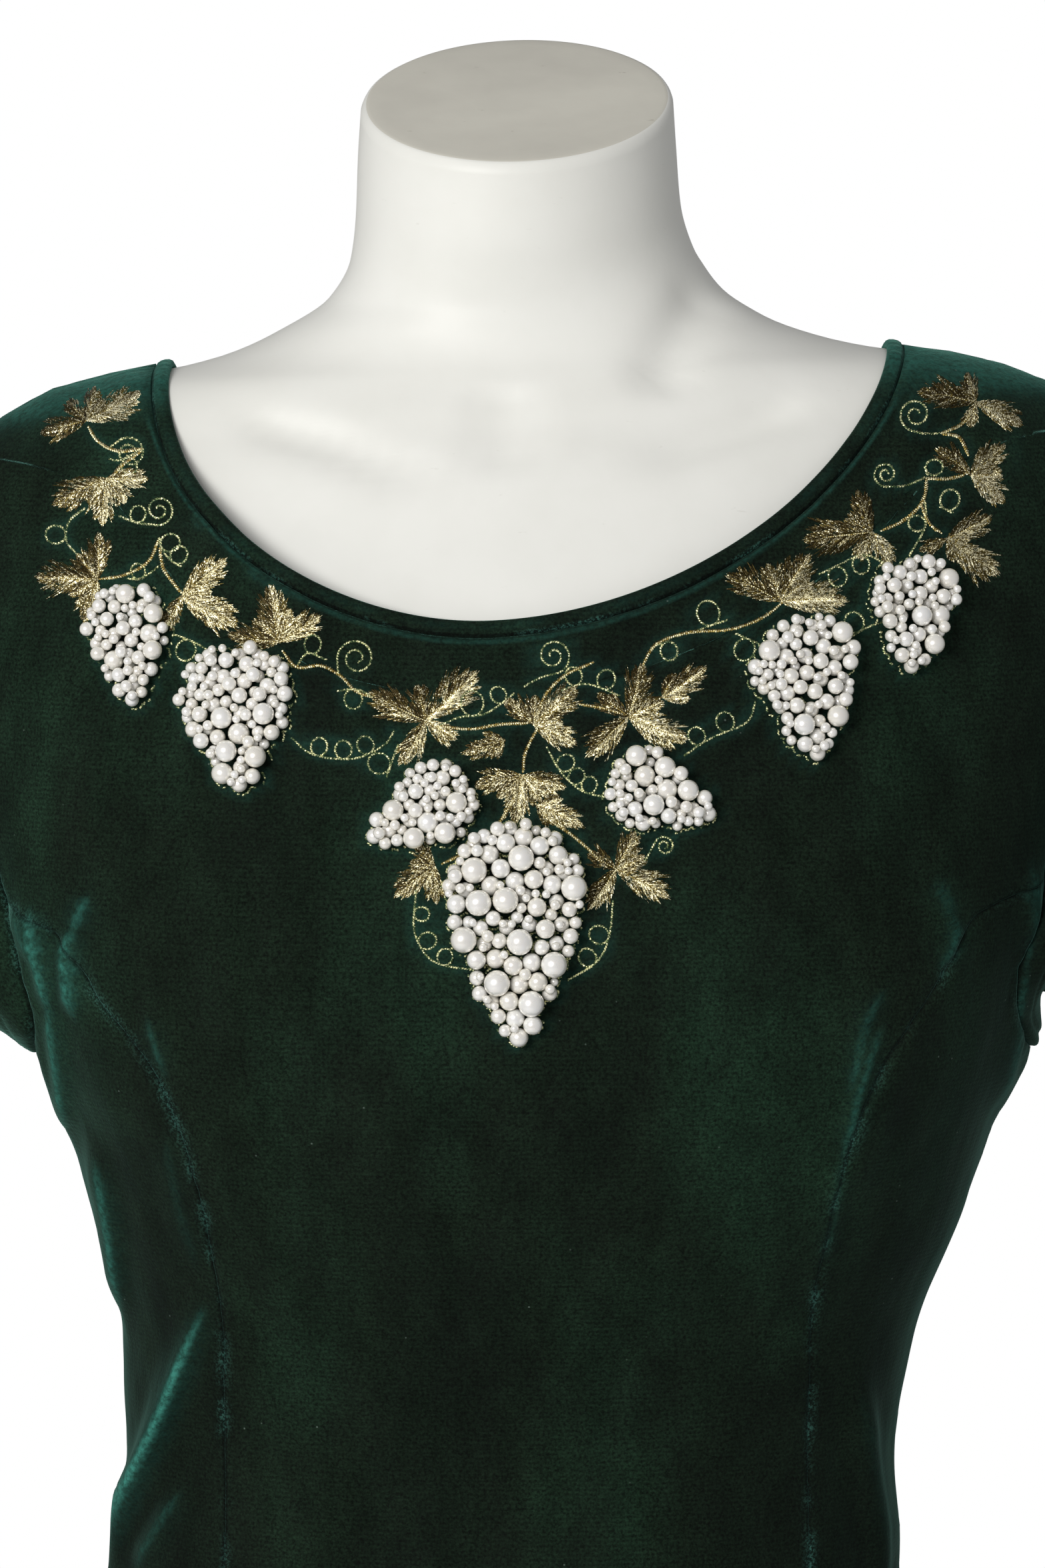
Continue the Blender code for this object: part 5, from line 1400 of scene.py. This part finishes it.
def filling_pearls(pearls, width, length, draw):
    """Small pearls that rest on the cloth or on their neighbours, in the gaps between them."""
    near = np.array([(x, y, lift + radius, radius) for x, y, radius, lift, _ in pearls])
    made = []
    for _ in range(FILLING_TRIES):
        y = draw.uniform(1.5, length - 1.5)
        x = draw.uniform(-0.5, 0.5) * width
        if abs(x) > bunch_half_width(y / length, width) - 1.6:
            continue
        beside = (near[:, 0] - x) ** 2 + (near[:, 1] - y) ** 2
        for radius in FILLING_RADII:
            clear = FILLING_NEARNESS * (near[:, 3] + radius)
            stands = near[:, 2] + np.sqrt(np.maximum(clear ** 2 - beside, 0.0))
            lift = max(0.0, float(np.max(np.where(beside < clear ** 2, stands, 0.0))) - radius)
            if lift < FILLING_MOST_LIFT + 0.6 * (2.4 - radius):
                made.append((x, y, radius, lift, 0))
                near = np.vstack([near, (x, y, lift + radius, radius)])
                break
    return made


def sphere(around=20, rings=12):
    """Points and faces of a unit sphere with its poles on Z."""
    points = [(0, 0, 1)]
    for i in range(1, rings):
        down = math.pi * i / rings
        points += [(math.sin(down) * math.cos(2 * math.pi * j / around),
                    math.sin(down) * math.sin(2 * math.pi * j / around), math.cos(down))
                   for j in range(around)]
    points.append((0, 0, -1))
    faces = [(0, 1 + j, 1 + (j + 1) % around) for j in range(around)]
    for i in range(rings - 2):
        for j in range(around):
            a, b = 1 + i * around + j, 1 + i * around + (j + 1) % around
            faces.append((a, a + around, b + around, b))
    last, first = len(points) - 1, 1 + (rings - 2) * around
    faces += [(last, first + (j + 1) % around, first + j) for j in range(around)]
    return np.array(points, float), faces


def make_bunch(row, chains, draw):
    name, centre_x, centre_height, width, length, turn, scale, seed = row
    cos, sin = math.cos(math.radians(turn)), math.sin(math.radians(turn))
    pearls = place_pearls(width, length, scale, seed)
    pearls = np.array(pearls + filling_pearls(pearls, width, length, draw))
    x, down, radius = pearls[:, 0], pearls[:, 1] - length / 2, pearls[:, 2]
    place_x = centre_x + x * cos + down * sin
    place_height = centre_height + x * sin - down * cos
    angle = angle_at(place_x, place_height)
    seat, normal = dress_places(angle, place_height)
    centres = seat + normal * (radius + pearls[:, 3] + 0.15)[:, None]
    points, faces, shade = [], [], []
    for centre, size in zip(centres, radius):
        ball, ball_faces = sphere(18, 11) if size > 2.4 else sphere(14, 8)
        turn_by = Matrix.Rotation(draw.uniform(0, 6.28), 3, "Z") @ Matrix.Rotation(
            draw.uniform(0, 3.14), 3, "X")
        first = len(shade)
        points.append(centre + (ball @ np.array(turn_by)) * size)
        faces += [tuple(first + i for i in face) for face in ball_faces]
        shade += [draw.uniform(0.2, 0.8)] * len(ball)
    made = new_object("beads_" + name, np.concatenate(points), faces, (PEARL,), slot="pearl",
                      shade=shade)
    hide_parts(name)
    outline_pearls(seat, radius, chains, draw)


def outline_pearls(seat, radius, chains, draw):
    """Broken gold stitches round a bunch, where no other pearl covers them."""
    px, py = photo_pixels(seat)
    for i in range(len(seat)):
        reach = (radius[i] + OUTLINE_GAP) * PEARL_PIXELS_PER_MM
        count = max(int(2 * math.pi * reach / CHAIN_SPACING), 8)
        turns = (2 * math.pi * k / count for k in range(count + 1))
        ring = [np.array([px[i] + reach * math.cos(t), py[i] + reach * math.sin(t)]) for t in turns]
        for a, b in zip(ring, ring[1:]):
            middle = (a + b) / 2
            off = np.hypot(px - middle[0], py - middle[1]) - radius * PEARL_PIXELS_PER_MM
            off = np.delete(off, i)
            if off.min() > 1.0 and draw.random() < OUTLINE_SHARE:
                chain(chains, np.array([a, b]), draw)


# ---- Zip and hem -----------------------------------------------------------------------------------
ZIP_TOP, ZIP_BOTTOM, ZIP_PITCH = 1340.5, 930.0, 1.15
TOOTH = (0.85, 0.32, 0.55)  # half sizes: across, up, out
ZIP_STITCH_FROM_CENTRE, HEM_STITCH_HEIGHT = 6.5, 20.0
STITCH_LENGTH, STITCH_PITCH = 2.4, 3.4
HEM_STITCHES = 479


def make_zip(cloth):
    """The closed zip's teeth down the centre back, in turn from either side."""
    heights = np.arange(ZIP_TOP, ZIP_BOTTOM, -ZIP_PITCH)
    angle = np.full(len(heights), 180.0)
    place, out = cloth.under(*dress_places(angle, heights))
    points, faces = [], []
    across_zip = np.array((1.0, 0.0, 0.0))
    box = [(i, j, k) for k in (-1, 1) for j in (-1, 1) for i in (-1, 1)]
    sides = ((0, 1, 3, 2), (4, 6, 7, 5), (0, 4, 5, 1), (2, 3, 7, 6), (0, 2, 6, 4), (1, 5, 7, 3))
    for n, (middle, normal) in enumerate(zip(place, out)):
        up = np.cross(normal, across_zip)
        middle = middle + across_zip * (0.35 if n % 2 else -0.35) + normal * 0.1
        for i, j, k in box:
            slim = 0.7 if k > 0 else 1.0
            points.append(middle + across_zip * TOOTH[0] * i * slim + up * TOOTH[1] * j * slim
                          + normal * TOOTH[2] * k)
        faces += [tuple(8 * n + i for i in face) for face in sides]
    new_object("zip_teeth", points, faces, (ENAMEL,), slot="zip_metal", flat=len(faces))


def row_of_stitches(name, cloth, angle, height, draw):
    """A row of plain stitches along places a stitch's pitch apart."""
    place, normal = cloth.under(*dress_places(angle, height))
    ahead = unit_rows(np.roll(place, -1, axis=0) - place)
    ahead[-1] = ahead[-2]
    end = place + ahead * STITCH_LENGTH
    shade = np.array([draw.uniform(0.2, 0.8) for _ in place])
    lay_stitches(name, SEWN, (place, normal), (end, normal), 0.5, 0.28, 0.0, shade)


def plain_stitches(cloth, draw):
    heights = np.arange(ZIP_TOP + 14, ZIP_BOTTOM, -STITCH_PITCH)
    for side, word in ((-1, "left"), (1, "right")):
        angle = 180 - angle_at(np.full(len(heights), side * ZIP_STITCH_FROM_CENTRE), heights)
        angle = np.where(angle > 180, angle - 360, angle)
        row_of_stitches("zip_stitches_" + word, cloth, angle, heights, draw)
    angle = np.linspace(-180, 180, HEM_STITCHES + 1)[:-1]
    height = np.full(len(angle), HEM_HEIGHT + HEM_STITCH_HEIGHT)
    row_of_stitches("hem_stitches", cloth, angle, height, draw)


# ---- Form, stand, stage ---------------------------------------------------------------------------------
def form_points(angle, height):
    sizes = {name: FORM[name](height) for name in FORM_COLUMNS[1:]}
    forward = sizes.pop("forward")
    point = level_points(angle, height, **sizes)
    share = ease_in((height - NECK_TILT_FROM) / (FORM_SECTIONS[-1][0] - NECK_TILT_FROM))
    lean = np.radians(NECK_TILT * share)
    return worn(np.stack([point[..., 0], point[..., 1] * np.cos(lean) - forward,
                          height + point[..., 1] * np.sin(lean)], axis=-1))


# Soft hollows of the form: three points (pixels), then width and rise (mm).
HOLLOWS = (
    (330, 612, 480, 662, 660, 728, 6.5, -3.2),
    (1215, 592, 1110, 644, 950, 698, 6.0, -3.0),
    (1080, 408, 1032, 486, 970, 600, 10.0, -4.6),
    (752, 570, 754, 640, 758, 716, 7.5, -3.2),
)


# The shell's rows: the height that each stretch ends at, and its number of rows.
FORM_ROWS = ((830.0, 1), (860.0, 8), (1180.0, 40), (1390.0, 60), (1420.0, 26), (1501.2, 50))
FORM_COLUMNS_AROUND = 128
FORM_RIM = ((0.25, 1.6), (0.75, 0.75), (1.6, 0.22), (2.8, 0.0))  # inset and drop of its rim's rings


def form_relief(points):
    """Rise of the hollows, from where points of the front show in the photograph."""
    px, py = photo_pixels(points)
    rise = np.zeros(px.shape)
    for x0, y0, x1, y1, x2, y2, width, height in HOLLOWS:
        share, off = along_line(px, py, ((x0, y0), (x1, y1), (x2, y2)))
        ends = ease_in(3.5 * np.minimum(share + 0.04, 1.04 - share))
        rise += height * ends * bell(off, PIXELS_PER_MM * width)
    return np.where(points[..., 1] < 10, rise, 0.0)


def make_form():
    """The form's shell, a rounded rim at the top of its neck and the cap inside the rim."""
    around = FORM_COLUMNS_AROUND
    heights = [FORM_ROWS[0][0]]
    for (bottom, _), (top, count) in zip(FORM_ROWS, FORM_ROWS[1:]):
        heights.extend(np.linspace(bottom, top, count)[1:])
    angle, height = np.meshgrid(np.linspace(-180, 180, around + 1)[:-1], heights)
    body = form_points(angle, height)
    normals = normals_of(form_points, angle, height)
    body = body + normals * form_relief(body)[..., None]
    rings = [body.reshape(-1, 3)]
    form_top = FORM_SECTIONS[-1][0]
    top = form_points(angle[0], np.full(around, form_top))
    middle = form_points(np.array([0.0, 180.0]), np.full(2, form_top)).mean(axis=0)
    inward = unit_rows(middle - top)
    up = unit_rows(np.cross(top[0] - middle, top[around // 4] - middle)[None, :])[0]
    up = up if up[2] > 0 else -up
    rings += [top + inward * inset - up * drop for inset, drop in FORM_RIM]
    cap_from = (len(heights) + len(FORM_RIM) - 2) * around
    rings += [mix(rings[-1], middle, share) for share in np.linspace(0.08, 0.97, 16)]
    rows = len(heights) + len(rings) - 1
    faces = grid_faces(rows, around, ring=True)
    marks = [int(i >= cap_from) for i in range(len(faces))]
    faces += [tuple(range((rows - 1) * around, rows * around)), tuple(range(around - 1, -1, -1))]
    marks += [1, 0]
    made = new_object("painted_form", np.concatenate(rings), faces, (SHELL, CAP), marks,
                      slot="form_shell")
    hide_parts("form_torso")


def give_finish(node, finish):
    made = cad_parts[node]
    made.data.materials.clear()
    made.data.materials.append(finish)


AMBIENT = 0.335  # what the white room adds, next to what the camera sees of it
FLOOR_REACH, FLOOR_DROP = 4.0, 0.0005  # metres
LIGHTS_AIM = (0, 0, 1.25)
LIGHTS = (
    ("key", (-1.30, -2.42, 1.92), 1.1, 49.0, (1.0, 0.99, 0.97)),
    ("lamp", (-0.62, -2.40, 2.05), 0.30, 4.0, (1.0, 0.98, 0.95)),
)
SENSOR_WIDTH = 36.0


def make_stage():
    size = FLOOR_REACH
    mesh = bpy.data.meshes.new("floor")
    mesh.from_pydata([(-size, -size, 0), (size, -size, 0), (size, size, 0), (-size, size, 0)], [],
                     [(0, 1, 2, 3)])
    mesh.materials.append(floor_material())
    floor = bpy.data.objects.new("floor", mesh)
    floor.location.z = -FLOOR_DROP
    bpy.context.scene.collection.objects.link(floor)
    world = bpy.data.worlds.new("studio")
    world.use_nodes = True
    tree = world.node_tree
    seen = tree.nodes.new("ShaderNodeLightPath").outputs["Is Camera Ray"]
    bright = tree.nodes.new("ShaderNodeMapRange")
    bright.inputs["To Min"].default_value, bright.inputs["To Max"].default_value = AMBIENT, 1.0
    tree.links.new(seen, bright.inputs[0])
    tree.links.new(bright.outputs[0], tree.nodes["Background"].inputs["Strength"])
    tree.nodes["Background"].inputs["Color"].default_value = (1.0, 1.0, 1.0, 1.0)
    bpy.context.scene.world = world
    for name, place, size, power, colour in LIGHTS:
        data = bpy.data.lights.new(name, "AREA")
        data.size, data.energy, data.color = size, power, colour
        lamp = bpy.data.objects.new(name, data)
        lamp.location = place
        aim = Vector(LIGHTS_AIM) - Vector(place)
        lamp.rotation_euler = aim.to_track_quat("-Z", "Y").to_euler()
        bpy.context.scene.collection.objects.link(lamp)


def make_camera():
    data = bpy.data.cameras.new("photograph")
    data.sensor_width = SENSOR_WIDTH
    data.lens = FOCAL_PIXELS * SENSOR_WIDTH / PHOTO_HEIGHT
    camera = bpy.data.objects.new("photograph", data)
    camera.location = Vector(CAMERA_AT) * MM
    camera.rotation_euler = (math.radians(90 - CAMERA_ELEVATION), 0, 0)
    bpy.context.scene.collection.objects.link(camera)
    bpy.context.scene.camera = camera


# Each cloth piece's flat size in metres, width x length.
FLAT_FRONT, FLAT_SIDE, FLAT_BACK, FLAT_SLEEVE = (0.41, 0.94), (0.24, 0.74), (0.42, 0.93), (0.46, 0.14)


def main():
    bpy.context.scene.view_settings.view_transform = "Standard"
    make_camera()
    make_stage()
    draw = random.Random(9)
    leaves, cords, chains = embroider()
    for row in BUNCHES:
        make_bunch(row, chains, draw)
    stitched = np.concatenate([chains.places(), cords.places()])
    sheets = [(*centre_front(stitched), FLAT_FRONT)]
    for side, word in ((-1, "right"), (1, "left")):
        sheets.append((*side_front("velvet_side_front_" + word, side), FLAT_SIDE))
        sheets.append((*back("velvet_back_" + word, side), FLAT_BACK))
        sheets.append((*sleeve("velvet_sleeve_" + word, side), FLAT_SLEEVE))
    cloth = Cloth([shown for _, _, shown, _ in sheets])
    leaves.make("gold_leaves", GOLD, cloth)
    cords.make("gold_stems", CORD, cloth)
    chains.make("gold_tendrils", CHAIN, cloth)
    make_zip(cloth)
    plain_stitches(cloth, draw)
    band = binding()
    make_form()
    for node, finish in (("stand_pole", STEEL), ("stand_foot", STEEL), ("zip_slider", ENAMEL),
                         ("zip_pull", ENAMEL)):
        give_finish(node, finish)


main()
